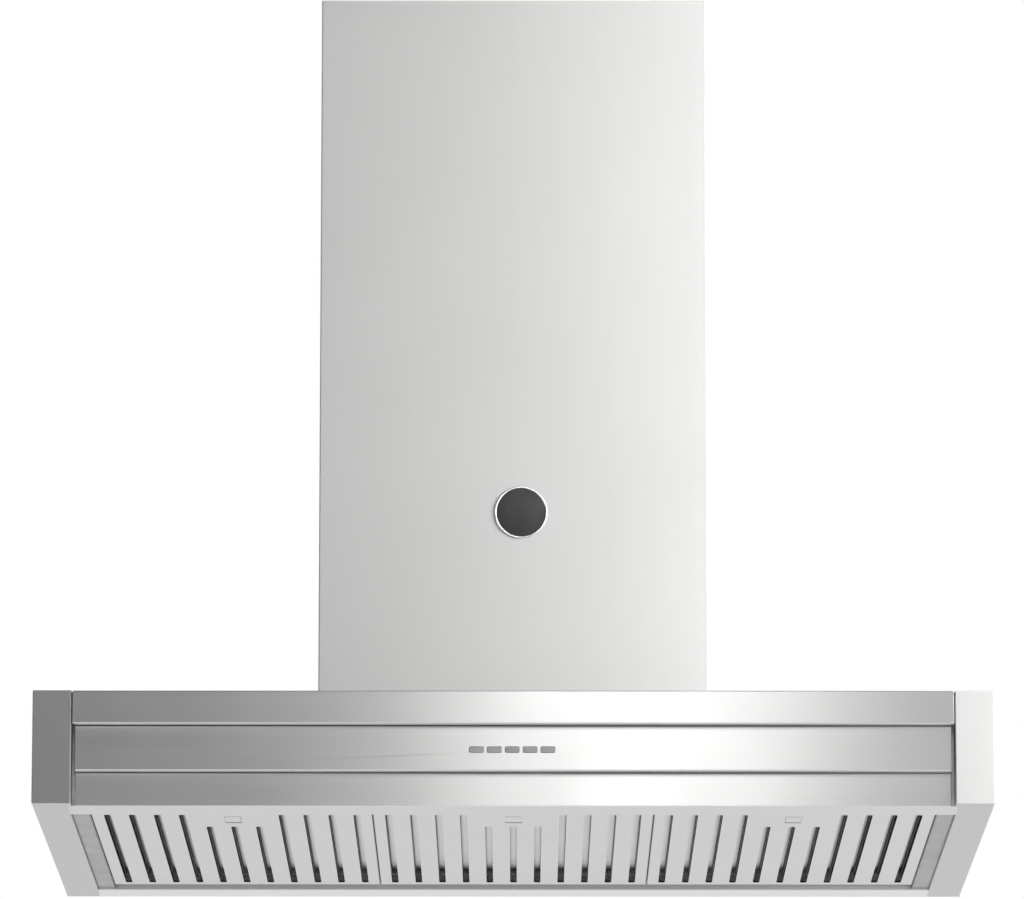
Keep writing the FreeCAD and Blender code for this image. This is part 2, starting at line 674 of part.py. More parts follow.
def lower_strip():
    strip = body("lower_strip_sheet")
    face = [(bulkhead_y, lower_strip_height), (lower_face_y, lower_strip_height), (lower_face_y, 0),
            (lower_face_y + gauge * 2, 0)]
    folded_sheet(strip, "lower_strip_face", face, gauge, (-strip_end_x, strip_end_x))
    flange = [(lower_face_y, 0), (lip_y, 0), (lip_y, front_lip)]
    folded_sheet(strip, "front_flange_sheet", flange, gauge, (-flange_end_x, flange_end_x))
    keepers = sketch_on(strip, "XZ_Plane", "latch_keepers", -lip_y)
    half = tongue_width / 2 + clearance
    low = face_top_z
    high = face_top_z + latch_gauge + clearance * 2
    for middle in filter_places():
        add_outline(keepers, rectangle((middle - half, middle + half), (low, high)))
    pocket(strip, keepers, "latch_keepers_cut", gauge)
    round_edges(strip, "lower_strip_folds", bend_radius,
                {"X": [(lower_face_y, lower_strip_height), (lower_face_y, 0), (lip_y, 0)]})
    node("lower_front_strip", strip)


def control_compartment():
    half_x = post_inner_x
    top = roof_z - gauge
    sheet = block("bulkhead_sheet", (-half_x, half_x), (bulkhead_y, bulkhead_y + gauge), (gauge, top))
    window = block("bulkhead_window", (carrier_x()[0] - cable_window, carrier_x()[1] + cable_window),
                   (bulkhead_y - gauge, bulkhead_y + gauge * 2),
                   (carrier_z()[0] - cable_window, carrier_z()[1] + cable_window))
    node("front_bulkhead", cut("bulkhead_cut", sheet, [window]))
    cover = block("inner_cover_sheet", (-rim_inner_x, rim_inner_x), (lip_y - gauge, lip_y), (front_lip, top))
    pass_hole = rod("loom_hole", "Y", (loom_x(), loom_z()), wire_radius + clearance,
                    (lip_y - gauge * 2, lip_y + gauge))
    node("inner_front_cover", cut("inner_cover_drilled", cover, [pass_hole]))


# ---------------------------------------------------------------- buttons and electrics


def button_places():
    return [button_row_x + button_pitch * (index - (button_count - 1) / 2) for index in range(button_count)]


def carrier_x():
    reach = button_pitch * ((button_count - 1) / 2) + button_width / 2 + carrier_border
    return button_row_x - reach, button_row_x + reach


def carrier_z():
    reach = button_height / 2 + carrier_border
    return button_row_z - reach, button_row_z + reach


def buttons():
    face_y = control_face_y - button_stand
    shoulder_y = control_face_y + gauge + clearance
    for index, x in enumerate(button_places()):
        cap = body(f"button_{index + 1}_moulding")
        outline = sketch_on(cap, "XZ_Plane", f"button_{index + 1}_outline", -face_y)
        half = button_width / 2
        rise = button_height / 2
        add_outline(outline, rectangle((x - half, x + half), (button_row_z - rise, button_row_z + rise)))
        pad(cap, outline, button_depth, f"button_{index + 1}_stem").Reversed = True
        corners = [(x + half * a, button_row_z + rise * b) for a in (-1, 1) for b in (-1, 1)]
        round_edges(cap, f"button_{index + 1}_corners", button_radius, {"Y": corners})
        shoulder = sketch_on(cap, "XZ_Plane", f"button_{index + 1}_shoulder_outline", -shoulder_y)
        wide = half + button_shoulder
        tall = rise + button_shoulder
        add_outline(shoulder, rectangle((x - wide, x + wide), (button_row_z - tall, button_row_z + tall)))
        pad(cap, shoulder, shoulder_depth, f"button_{index + 1}_shoulder").Reversed = True
        node(f"button_{index + 1}", cap)


def controls():
    back_y = control_face_y + gauge
    span_x = carrier_x()
    span_z = carrier_z()
    carrier_back = back_y + carrier_depth
    frame = block("carrier_block", span_x, (back_y, carrier_back), span_z)
    wide = button_width / 2 + button_shoulder + clearance
    tall = button_height / 2 + button_shoulder + clearance
    pockets = [block(f"carrier_pocket_{index}", (x - wide, x + wide), (back_y, carrier_back),
                     (button_row_z - tall, button_row_z + tall))
               for index, x in enumerate(button_places())]
    node("button_carrier", cut("carrier_moulding", frame, pockets))
    board = block("board_sheet", span_x, (carrier_back, carrier_back + board_thickness), span_z)
    button_back = control_face_y - button_stand + button_depth
    switch_front = button_back + button_travel + clearance
    switches = [block(f"switch_{index}", (x - switch_size / 2, x + switch_size / 2), (switch_front, carrier_back),
                      (button_row_z - switch_size / 2, button_row_z + switch_size / 2))
                for index, x in enumerate(button_places())]
    node("control_board", join("board_with_switches", [board] + switches))


def electrics():
    low_z = roof_z - compartment_gap - electronics_height
    depth = (bulkhead_y + gauge, lip_y - gauge)
    start = chimney_half
    node("electronics_box", block("electronics_case", (start, start + electronics_width), depth,
                                  (low_z, roof_z - compartment_gap)))
    node("lamp_driver", block("driver_case", (-start - driver_width, -start), depth,
                              (low_z, roof_z - compartment_gap)))
    middle_y = bulkhead_y + gauge + capacitor_radius
    node("motor_capacitor", rod("capacitor_can", "X", (middle_y, low_z + capacitor_radius), capacitor_radius,
                                (-start + capacitor_radius, -start + capacitor_radius + capacitor_length)))


def loom_x():
    return chimney_half + electronics_width / 2


def loom_z():
    return roof_z - compartment_gap - electronics_height / 2


# ---------------------------------------------------------------- filters, latches and lamps


def filter_places():
    return [filter_pitch * (index - (filter_count - 1) / 2) for index in range(filter_count)]


def slot_rows():
    """Rows of equal slots: the first slot's number, how many, and how far the row is set back."""
    short_first = (slot_count - short_slot_count) // 2
    short_last = short_first + short_slot_count
    return [(0, short_first, 0), (short_first, short_slot_count, short_slot_setback),
            (short_last, slot_count - short_last, 0)]


def slot_x(index):
    return slot_pitch * (index - (slot_count - 1) / 2)


def slot_row(pan, name, x, count, margin):
    """One slot with its upstand, repeated along X."""
    start = filter_front_y + margin
    end = filter_rear_y - slot_rear_margin
    collar = sketch_on(pan, "XY_Plane", name + "_collar", filter_recess)
    add_slot(collar, x, (start - filter_gauge, end + filter_gauge), slot_width + filter_gauge * 2)
    upstand = pad(pan, collar, filter_gauge + slot_collar, name + "_upstand")
    slot = sketch_on(pan, "XY_Plane", name + "_opening", filter_recess)
    add_slot(slot, x, (start, end), slot_width)
    opening = pocket(pan, slot, name + "_cut")
    DOC.recompute()
    row = pan.newObject("PartDesign::LinearPattern", name + "_row")
    row.Originals = [upstand, opening]
    row.Direction = (next(part for part in pan.Origin.OriginFeatures if part.Role == "X_Axis"), [""])
    row.Mode = "Spacing"
    row.setExpression("Offset", slot_pitch.text)
    row.Occurrences = count
    pan.Tip = row


def filter_pan():
    """The slotted pan: face, four walls, an upstand round each slot, latch bridges and rear hooks."""
    pan = body("pan_sheet")
    x = (-filter_half, filter_half)
    y = (filter_front_y, filter_rear_y)
    face = sketch_on(pan, "XY_Plane", "pan_face", filter_recess)
    add_outline(face, rectangle(x, y))
    pad(pan, face, filter_gauge, "pan_plate")
    walls = sketch_on(pan, "XY_Plane", "pan_walls", filter_recess)
    add_outline(walls, rectangle(x, y))
    add_outline(walls, rectangle((x[0] + filter_gauge, x[1] - filter_gauge),
                                 (y[0] + filter_gauge, y[1] - filter_gauge)))
    pad(pan, walls, filter_height, "pan_rim")
    for first, count, setback in slot_rows():
        slot_row(pan, f"slots_{first}", slot_x(first), count, slot_front_margin + setback)
    window = sketch_on(pan, "XY_Plane", "pan_window", filter_recess)
    half = latch_width / 2 + clearance
    plate_y = filter_front_y + latch_setback
    add_outline(window, rectangle((-half, half),
                                  (plate_y - clearance, plate_y + latch_length + latch_travel + clearance)))
    pocket(pan, window, "pan_window_cut")
    tongue = block("pan_tongue_hole", (-tongue_width / 2 - clearance, tongue_width / 2 + clearance),
                   (filter_front_y - filter_gauge, filter_front_y + filter_gauge * 2),
                   (face_top_z, face_top_z + latch_gauge + clearance * 2))
    hooks = [hook(f"hook_{index}", hook_offset * direction) for index, direction in enumerate((-1, 1))]
    return join("filter_pan_solid", [cut("pan_pierced", pan, [tongue])] + latch_bridges() + hooks)


def hook(name, x):
    """A lug behind the filter that hangs over the hinge rod and is open below it."""
    span = (x - hook_width / 2, x + hook_width / 2)
    outer = hinge_radius + bearing_gap + hook_wall
    ring = rod(name + "_ring", "X", (hinge_y, hinge_height), outer, span)
    arm = block(name + "_arm", span, (filter_rear_y - filter_gauge, hinge_y),
                (hinge_height, hinge_height + outer))
    bore = rod(name + "_bore", "X", (hinge_y, hinge_height), hinge_radius + bearing_gap, span)
    mouth = block(name + "_mouth", span, (hinge_y - hinge_radius - bearing_gap, hinge_y + hinge_radius + bearing_gap),
                  (hinge_height - outer * 2, hinge_height))
    return cut(name, join(name + "_solid", [ring, arm]), [bore, mouth])


def latch_span():
    """The slider's front and rear, just behind the filter's front wall and behind the finger plate."""
    front = filter_front_y + filter_gauge + clearance
    rear = filter_front_y + latch_setback + latch_length + latch_overlap
    return front, rear


def latch_bridges():
    """Two bridges over the slider, in front of the finger plate's window."""
    front, _ = latch_span()
    half = latch_width / 2 + latch_overlap + clearance
    under = face_top_z + latch_gauge + clearance * 2
    bridges = []
    for index in (0, 1):
        start = front + guide_length / 2 + index * guide_length * 2
        y = (start, start + guide_length)
        outer = block(f"bridge_{index}_outer", (-half - guide_wall, half + guide_wall), y,
                      (face_top_z, under + guide_wall))
        inner = block(f"bridge_{index}_inner", (-half, half), y, (face_top_z, under))
        bridges.append(cut(f"bridge_{index}", outer, [inner]))
    return bridges


def latch():
    front, rear = latch_span()
    plate_y = filter_front_y + latch_setback
    low = face_top_z + clearance
    z = (low, low + latch_gauge)
    half = latch_width / 2 + latch_overlap
    slider = block("latch_slider", (-half, half), (front, rear), z)
    tongue = block("latch_tongue", (-tongue_width / 2, tongue_width / 2), (lip_y + clearance, front), z)
    plate = block("latch_plate", (-latch_width / 2, latch_width / 2), (plate_y, plate_y + latch_length),
                  (filter_recess - clearance, low))
    return join("latch_solid", [slider, tongue, plate])


def baffles():
    """Inverted channels over the slots."""
    top = filter_recess + baffle_rise + filter_gauge
    half = slot_width / 2 + baffle_cover
    rear = filter_rear_y - filter_gauge - baffle_rear_gap
    channels = []
    for first, count, setback in slot_rows():
        y = (filter_front_y + slot_front_margin + setback - baffle_lead, rear)
        for index in range(first, first + count):
            x = slot_x(index)
            outer = block(f"baffle_{index}_outer", (x - half, x + half), y, (top - baffle_flange, top))
            inner = block(f"baffle_{index}_inner", (x - half + filter_gauge, x + half - filter_gauge), y,
                          (top - baffle_flange, top - filter_gauge))
            channels.append(cut(f"baffle_{index}", outer, [inner]))
    return group("baffle_set", channels)


def stays():
    """The bar over the baffles, and the strap on the rear wall that their rear ends lie on."""
    inside_x = (-filter_half + filter_gauge, filter_half - filter_gauge)
    bar_y = filter_front_y + stay_inset
    bar_z = filter_recess + baffle_rise + filter_gauge
    bar = block("baffle_bar", inside_x, (bar_y, bar_y + stay_width), (bar_z, bar_z + filter_gauge))
    wall_face_y = filter_rear_y - filter_gauge
    strap_z = bar_z - baffle_flange - filter_gauge
    strap = block("baffle_strap", inside_x, (wall_face_y - strap_width, wall_face_y),
                  (strap_z, strap_z + filter_gauge))
    return group("stay_set", [bar, strap])


def filters():
    """Three equal filters: each of their pieces is made once and placed three times."""
    masters = {"filter_pan": filter_pan(), "filter_latch": latch(), "filter_baffles": baffles(),
               "filter_stays": stays()}
    for kind, master in masters.items():
        for side, middle in zip(filter_names, filter_places()):
            placed = group(f"{kind}_{side}_placed", [master])
            put(placed, middle, 0, 0)
            node(f"{kind}_{side}", placed)


def lamps():
    channel_x = (-lamp_outer_x, -lamp_inner_x)
    length = (lip_y, rear_lip_y)
    top = lamp_recess + lamp_height
    outer = block("lamp_channel_outer", channel_x, length, (lamp_recess, top))
    inside_x = (-lamp_outer_x + lamp_wall, -lamp_inner_x - lamp_wall)
    inner = block("lamp_channel_inner", inside_x, length, (lamp_recess, top - lamp_wall))
    left = node("lamp_channel_left", cut("lamp_channel_profile", outer, [inner]))
    node("lamp_channel_right", mirror_x("lamp_channel_right_profile", left))
    lens_low = lamp_recess + lens_recess
    lens = node("lamp_lens_left", block("lens_left_strip", inside_x, length, (lens_low, lens_low + lens_thickness)))
    node("lamp_lens_right", mirror_x("lens_right_strip", lens))
    middle = -(lamp_outer_x + lamp_inner_x) / 2
    board_top = top - lamp_wall
    board_low = board_top - led_board_thickness
    board = block("led_board_sheet", (middle - led_board_width / 2, middle + led_board_width / 2), length,
                  (board_low, board_top))
    pitch = (rear_lip_y - lip_y) / led_count
    chips = []
    for index in range(led_count):
        place = lip_y + pitch * (index + 0.5)
        chips.append(block(f"led_{index}", (middle - led_size / 2, middle + led_size / 2),
                           (place - led_size / 2, place + led_size / 2), (board_low - gauge, board_low)))
    left_board = join("led_board_left", [board] + chips)
    node("lamp_boards", group("led_boards", [left_board, mirror_x("led_board_right", left_board)]))


# ---------------------------------------------------------------- chimney and badge


def cover(name, outline_path, z):
    sheet = body(name)
    section = sketch_on(sheet, "XY_Plane", name + "_section", z[0])
    add_outline(section, folded(outline_path, chimney_gauge))
    pad(sheet, section, as_size(z[1]) - z[0], name + "_run")
    return sheet


def chimney():
    half = chimney_half
    back = half - chimney_return
    path = [(-back, wall_y), (-half, wall_y), (-half, chimney_front_y), (half, chimney_front_y),
            (half, wall_y), (back, wall_y)]
    lower = cover("lower_cover_sheet", path, (canopy_height, chimney_top_z))
    inside = half - chimney_gauge
    foot_y = (chimney_front_y + chimney_gauge, wall_y - chimney_gauge)
    for side in (-1, 1):
        foot = sketch_on(lower, "XY_Plane", f"lower_cover_foot_{(side + 1) // 2}", canopy_height)
        edges = sorted((inside * side, (inside - chimney_return) * side), key=lambda place: place.value)
        add_outline(foot, rectangle(edges, foot_y))
        pad(lower, foot, chimney_gauge, f"lower_cover_foot_pad_{(side + 1) // 2}")
    round_edges(lower, "lower_cover_corners", chimney_radius,
                {"Z": [(-half, chimney_front_y), (half, chimney_front_y)]})
    foot_z = (canopy_height, canopy_height + chimney_gauge)
    holes = screw_holes("foot_hole", "Z", chimney_screw_places(), foot_z)
    node("lower_chimney_cover", cut("lower_cover_drilled", lower, holes))

    outer = half - chimney_gauge - nest_gap
    nested_front = chimney_front_y + chimney_gauge + nest_gap
    nested_rear = wall_y - chimney_gauge - nest_gap
    path = [(-outer, nested_rear), (-outer, nested_front), (outer, nested_front), (outer, nested_rear)]
    upper = cover("upper_cover_sheet", path, (upper_bottom_cover_z, upper_top_z))
    round_edges(upper, "upper_cover_corners", chimney_radius,
                {"Z": [(-outer, nested_front), (outer, nested_front)]})
    node("upper_chimney_cover", upper)

    stop_top = upper_bottom_cover_z - clearance
    stops = []
    for index, side in enumerate((-1, 1)):
        x = sorted((inside * side, (inside - stop_size) * side), key=lambda place: place.value)
        rear = wall_y - chimney_gauge
        stops.append(block(f"chimney_stop_{index}", x, (rear - stop_length, rear),
                           (stop_top - stop_height, stop_top)))
    node("chimney_stops", group("chimney_stop_pair", stops))


def badge():
    front = chimney_front_y - badge_thickness
    node("badge_ring", tube("badge_ring_turning", "Y", (badge_x, badge_z), badge_radius, badge_disc_radius,
                            (front, chimney_front_y)))
    node("badge_disc", rod("badge_disc_blank", "Y", (badge_x, badge_z), badge_disc_radius,
                           (chimney_front_y - disc_thickness, chimney_front_y)))


# ---------------------------------------------------------------- blower, outlet and damper


def blower_box():
    outer = block("box_outer", (-box_half, box_half), (box_front_y, box_rear_y), (canopy_height, box_top_z))
    foot = block("box_foot", (-box_half - box_flange, box_half + box_flange), (box_front_y, box_rear_y),
                 (canopy_height, canopy_height + gauge))
    inner = block("box_inner", (-box_half + gauge, box_half - gauge), (box_front_y + gauge, box_rear_y - gauge),
                  (canopy_height - gauge, box_top_z - gauge))
    outlet = rod("box_outlet", "Z", (0, duct_y), collar_radius - collar_gauge - outlet_margin,
                 (box_top_z - gauge * 2, box_top_z + gauge))
    holes = screw_holes("box_foot_hole", "Z", box_screw_places(), (canopy_height, canopy_height + gauge))
    holes += screw_holes("box_top_hole", "Z", collar_screw_places(), (box_top_z - gauge, box_top_z))
    drop = rod("box_cable_hole", "Z", (terminal_x(), terminal_y()), wire_radius + clearance,
               (box_top_z - gauge * 2, box_top_z + gauge))
    node("blower_box", cut("blower_box_sheet", join("box_solid", [outer, foot]), [inner, outlet, drop] + holes))


def scroll_outline(inset):
    """The scroll's outline about its axis: a four-arc spiral with a square mouth on top."""
    def point(radius, degrees):
        turn = math.radians(degrees)
        return FreeCAD.Vector(0, axis_y.value + radius * math.cos(turn), axis_z.value + radius * math.sin(turn))

    throat = throat_radius.value - inset
    growth = scroll_growth.value
    top = box_top_z.value - gauge.value
    knots = [point(throat + growth * quarter / 90, 90 + quarter) for quarter in (0, 45, 90, 135, 180, 225, 270)]
    front = mouth_front_y.value + inset
    tip = FreeCAD.Vector(0, front, knots[0].z)
    mouth = [FreeCAD.Vector(0, knots[-1].y, top), FreeCAD.Vector(0, front, top), tip]
    edges = [Part.Arc(knots[2 * turn], knots[2 * turn + 1], knots[2 * turn + 2]).toShape() for turn in range(3)]
    corners = [knots[-1]] + mouth + [knots[0]]
    for start, end in zip(corners, corners[1:]):
        if start.distanceToPoint(end) > EDGE_TOLERANCE:
            edges.append(Part.LineSegment(start, end).toShape())
    return Part.Face(Part.Wire(edges))


def scroll():
    wall = scroll_wall.value
    reach = scroll_width.value / 2
    for side, name in ((-1, "scroll_left"), (1, "scroll_right")):
        outside = scroll_outline(0).extrude(FreeCAD.Vector(side * reach, 0, 0))
        inside = scroll_outline(wall).extrude(FreeCAD.Vector(side * (reach - wall), 0, 0))
        mouth_low = axis_z.value + throat_radius.value
        mouth = Part.makeBox(reach - wall, mouth_depth.value - 2 * wall, box_top_z.value - mouth_low)
        mouth.translate(FreeCAD.Vector(0 if side > 0 else wall - reach, mouth_front_y.value + wall, mouth_low))
        centre = FreeCAD.Vector(side * (reach - 2 * wall), axis_y.value, axis_z.value)
        inlet = Part.makeCylinder(inlet_radius.value, wall * 3, centre, FreeCAD.Vector(side, 0, 0))
        half = DOC.addObject("Part::Feature", name + "_moulding")
        half.Shape = outside.cut([inside, mouth, inlet])
        half.Placement = FreeCAD.Placement()
        node(name, half)


def impeller():
    """Double-inlet wheel: middle disc, hub, blades and end rings, about its own axis, then placed."""
    wheel = body("impeller_moulding")
    reach = wheel_width / 2
    disc = sketch_on(wheel, "YZ_Plane", "wheel_disc_outline", -(disc_gauge / 2))
    add_circle(disc, "rim", wheel_radius)
    add_circle(disc, "bore", shaft_radius)
    pad(wheel, disc, disc_gauge, "wheel_disc")
    boss = sketch_on(wheel, "YZ_Plane", "wheel_hub_outline", -(disc_gauge / 2))
    add_circle(boss, "hub", hub_radius)
    add_circle(boss, "bore", shaft_radius)
    pad(wheel, boss, hub_length, "wheel_hub")
    blade = sketch_on(wheel, "YZ_Plane", "blade_outline", -reach)
    inner = wheel_radius - blade_depth
    outer = wheel_radius - blade_thickness
    half = blade_thickness / 2
    add_outline(blade, [(inner, -half), (outer, blade_slant - half), (outer, blade_slant + half), (inner, half)])
    blade_pad = pad(wheel, blade, wheel_width, "blade")
    DOC.recompute()
    ring = wheel.newObject("PartDesign::PolarPattern", "blades")
    ring.Originals = [blade_pad]
    ring.Axis = (next(part for part in wheel.Origin.OriginFeatures if part.Role == "X_Axis"), [""])
    ring.Angle = 360
    ring.Occurrences = blade_count
    wheel.Tip = ring
    for index, start in enumerate((-reach, reach - ring_height)):
        end = sketch_on(wheel, "YZ_Plane", f"end_ring_outline_{index}", start)
        add_circle(end, "outer", wheel_radius)
        add_circle(end, "inner", wheel_radius - blade_depth / 2)
        pad(wheel, end, ring_height, f"end_ring_{index}")
    put(wheel, 0, axis_y, axis_z)
    node("impeller", wheel)
    node("impeller_shaft", rod("shaft_bar", "X", (axis_y, axis_z), shaft_radius,
                               (-(motor_tip_gap + motor_length / 2), hub_length - disc_gauge / 2)))


def add_circle(sketch, name, radius):
    index = sketch.GeometryCount
    up = FreeCAD.Vector(0, 0, 1)
    sketch.addGeometry(Part.Circle(FreeCAD.Vector(0, 0, 0), up, as_size(radius).value), False)
    sketch.addConstraint(Sketcher.Constraint("Coincident", index, 3, -1, 1))
    bind(sketch, "Radius", f"{name}{index}", index, radius)


def motor():
    tip_x = -motor_tip_gap
    tail_x = tip_x - motor_length
    can = rod("motor_can", "X", (axis_y, axis_z), motor_radius, (tail_x, tip_x))
    bore = rod("motor_bore", "X", (axis_y, axis_z), shaft_radius + bearing_gap,
               (tip_x - motor_length / 2 - gauge, tip_x))
    node("motor", cut("motor_body", can, [bore]))
    wall_x = -(scroll_width / 2)
    plate_x = (wall_x - grommet_length - bracket_gauge, wall_x - grommet_length)
    reach = bracket_radius + bracket_arm / 2
    ring = rod("bracket_disc", "X", (axis_y, axis_z), motor_radius + bracket_arm / 2, plate_x)
    tail = rod("bracket_spigot", "X", (axis_y, axis_z), motor_radius / 2, (plate_x[1], tail_x))
    pieces = [ring, tail]
    holes = []
    grommets = []
    screws = []
    for index in range(bracket_arms):
        turn = math.radians(90 + 360 / bracket_arms * index)
        along_y = round(math.cos(turn), 9)
        along_z = round(math.sin(turn), 9)
        centre = (axis_y + bracket_radius * along_y, axis_z + bracket_radius * along_z)
        arm = DOC.addObject("Part::Box", f"bracket_arm_{index}")
        arm.setExpression("Length", bracket_gauge.text)
        arm.setExpression("Width", reach.text)
        arm.setExpression("Height", bracket_arm.text)
        lean = FreeCAD.Rotation(FreeCAD.Vector(1, 0, 0), math.degrees(turn))
        arm.Placement = FreeCAD.Placement(FreeCAD.Vector(), lean)
        put(arm, plate_x[0], axis_y + bracket_arm / 2 * along_z, axis_z - bracket_arm / 2 * along_y)
        pieces.append(arm)
        holes.append(rod(f"bracket_hole_{index}", "X", centre, screw_radius + screw_gap, plate_x))
        grommets.append(tube(f"grommet_{index}", "X", centre, grommet_radius, screw_radius + screw_gap,
                             (plate_x[1], wall_x)))
        shank = rod(f"motor_screw_{index}_shank", "X", centre, screw_radius, (plate_x[0], wall_x))
        head = rod(f"motor_screw_{index}_head", "X", centre, screw_head_radius,
                   (plate_x[0] - screw_head_height, plate_x[0]))
        screws.append(join(f"motor_screw_{index}", [shank, head]))
    node("motor_bracket", cut("motor_bracket_plate", join("bracket_solid", pieces), holes))
    node("motor_grommets", group("grommet_set", grommets))
    return screws


def collar_screw_places():
    radius = collar_radius + collar_step + screw_head_radius + clearance
    places = []
    for quarter in range(4):
        turn = math.radians(45 + 90 * quarter)
        places.append((radius * round(math.cos(turn), 9), duct_y + radius * round(math.sin(turn), 9)))
    return places


def outlet():
    inside = collar_radius - collar_gauge
    top = box_top_z + collar_height
    wall = rod("collar_wall", "Z", (0, duct_y), collar_radius, (box_top_z, top))
    foot_z = (box_top_z, box_top_z + collar_gauge)
    disc = rod("collar_foot_disc", "Z", (0, duct_y), collar_radius + collar_flange, foot_z)
    overhang = block("collar_foot_overhang", (-collar_radius, collar_radius), (box_rear_y, wall_y), foot_z)
    foot = cut("collar_foot", disc, [overhang])
    bore = rod("collar_bore", "Z", (0, duct_y), inside, (box_top_z - gauge, top + gauge))
    seat_top = flap_z - flap_gauge / 2 - clearance
    seat = tube("collar_seat", "Z", (0, duct_y), inside + collar_gauge / 2, inside - seat_width,
                (seat_top - collar_gauge, seat_top))
    pin_hole = rod("collar_pin_hole", "X", (duct_y, flap_z), pin_radius, (-collar_radius * 2, collar_radius * 2))
    holes = screw_holes("collar_foot_hole", "Z", collar_screw_places(), foot_z)
    step_z = (box_top_z, box_top_z + collar_gauge + screw_head_height + clearance)
    step = rod("collar_step_ring", "Z", (0, duct_y), collar_radius + collar_step, step_z)
    shell = cut("collar_shell", join("collar_solid", [wall, step, foot]), [bore])
    node("outlet_collar", cut("outlet_collar_drilled", join("collar_with_seat", [shell, seat]), [pin_hole] + holes))
    pin_end = collar_radius - clearance
    node("damper_pin", rod("damper_pin_bar", "X", (duct_y, flap_z), pin_radius, (-pin_end, pin_end)))
    for name, side in (("damper_flap_front", -1), ("damper_flap_rear", 1)):
        damper_flap(name, side, inside)


def damper_flap(name, side, inside):
    """A half-round flap whose knuckles turn on the pin; the two flaps' knuckles sit side by side."""
    thick = (flap_z - flap_gauge / 2, flap_z + flap_gauge / 2)
    disc = rod(name + "_disc", "Z", (0, duct_y), inside - flap_gap, thick)
    near = duct_y + flap_hinge_gap * side
    far = duct_y + collar_radius * side
    y = (near, far) if side > 0 else (far, near)
    half_plane = block(name + "_half", (-collar_radius, collar_radius), y, thick)
    plate = DOC.addObject("Part::Common", name + "_plate")
    plate.Base = disc
    plate.Tool = half_plane
    beside = knuckle_length / 2
    spans = [(-beside, beside)]
    if side < 0:
        first = beside + clearance
        spans = [(first, first + knuckle_length), (-first - knuckle_length, -first)]
    knuckles = []
    for index, span in enumerate(spans):
        knuckles.append(rod(f"{name}_knuckle_{index}", "X", (duct_y, flap_z), knuckle_radius, span))
        web = (duct_y, near) if side > 0 else (near, duct_y)
        knuckles.append(block(f"{name}_web_{index}", span, web, thick))
    bore = rod(name + "_bore", "X", (duct_y, flap_z), pin_radius + bearing_gap, (-collar_radius, collar_radius))
    node(name, cut(name + "_pressing", join(name + "_solid", [plate] + knuckles), [bore]))


def screw_set(motor_screws):
    """The sheet-metal screws: blower box feet, chimney feet and collar foot, all one kind."""
    screws = list(motor_screws)
    rows = [("box_screw", box_screw_places(), canopy_height + gauge, roof_z),
            ("chimney_screw", chimney_screw_places(), canopy_height + chimney_gauge, roof_z),
            ("collar_screw", collar_screw_places(), box_top_z + collar_gauge, box_top_z - gauge)]
    for name, places, seat, under in rows:
        for index, (x, y) in enumerate(places):
            shank = rod(f"{name}_{index}_shank", "Z", (x, y), screw_radius, (under - screw_reach, seat))
            head = rod(f"{name}_{index}_head", "Z", (x, y), screw_head_radius, (seat, seat + screw_head_height))
            screws.append(join(f"{name}_{index}", [shank, head]))
    node("pan_head_screws", group("screw_group", screws))


def terminal_x():
    return -(collar_radius + collar_flange + terminal_width / 4)


def terminal_y():
    return box_front_y + terminal_depth / 2 + gauge * 2


def terminal():
    x = (terminal_x() - terminal_width / 2, terminal_x() + terminal_width / 2)
    y = (terminal_y() - terminal_depth / 2, terminal_y() + terminal_depth / 2)
    top = box_top_z + terminal_height
    case = block("terminal_case", x, y, (box_top_z, top))
    entry = rod("terminal_entry", "Z", (terminal_x(), terminal_y()), gland_bore, (top - gland_length / 2, top))
    socket = rod("terminal_drop", "Z", (terminal_x(), terminal_y()), wire_radius, (box_top_z, box_top_z + gauge * 3))
    node("terminal_box", cut("terminal_case_drilled", case, [entry, socket]))
    node("cable_gland", tube("gland_body", "Z", (terminal_x(), terminal_y()), gland_radius, gland_bore,
                             (top, top + gland_length)))


def wiring():
    """The internal loom, from the terminal box down through the blower box and forward to the controls."""
    x = terminal_x().value
    y = terminal_y().value
    front_wall = box_front_y.value + inlet_margin.value + wire_radius.value * 2
    under_roof = roof_z.value - loom_bend.value - wire_radius.value * 2
    goal_x = loom_x().value
    drop = box_top_z.value - loom_drop.value
    route = [FreeCAD.Vector(x, y, box_top_z.value + gauge.value * 3),
             FreeCAD.Vector(x, y, drop),
             FreeCAD.Vector(x, front_wall, drop - loom_slope.value),
             FreeCAD.Vector(x, front_wall, under_roof),
             FreeCAD.Vector(x, front_y.value + loom_turn.value, under_roof),
             FreeCAD.Vector(goal_x, front_y.value + loom_finish.value, loom_z().value),
             FreeCAD.Vector(goal_x, lip_y.value - gauge.value, loom_z().value)]
    loom = DOC.addObject("Part::Feature", "wiring_loom_sweep")
    loom.Shape = swept_tube(route, wire_radius.value, loom_bend.value)
    loom.Placement = FreeCAD.Placement()
    node("wiring_loom", loom)


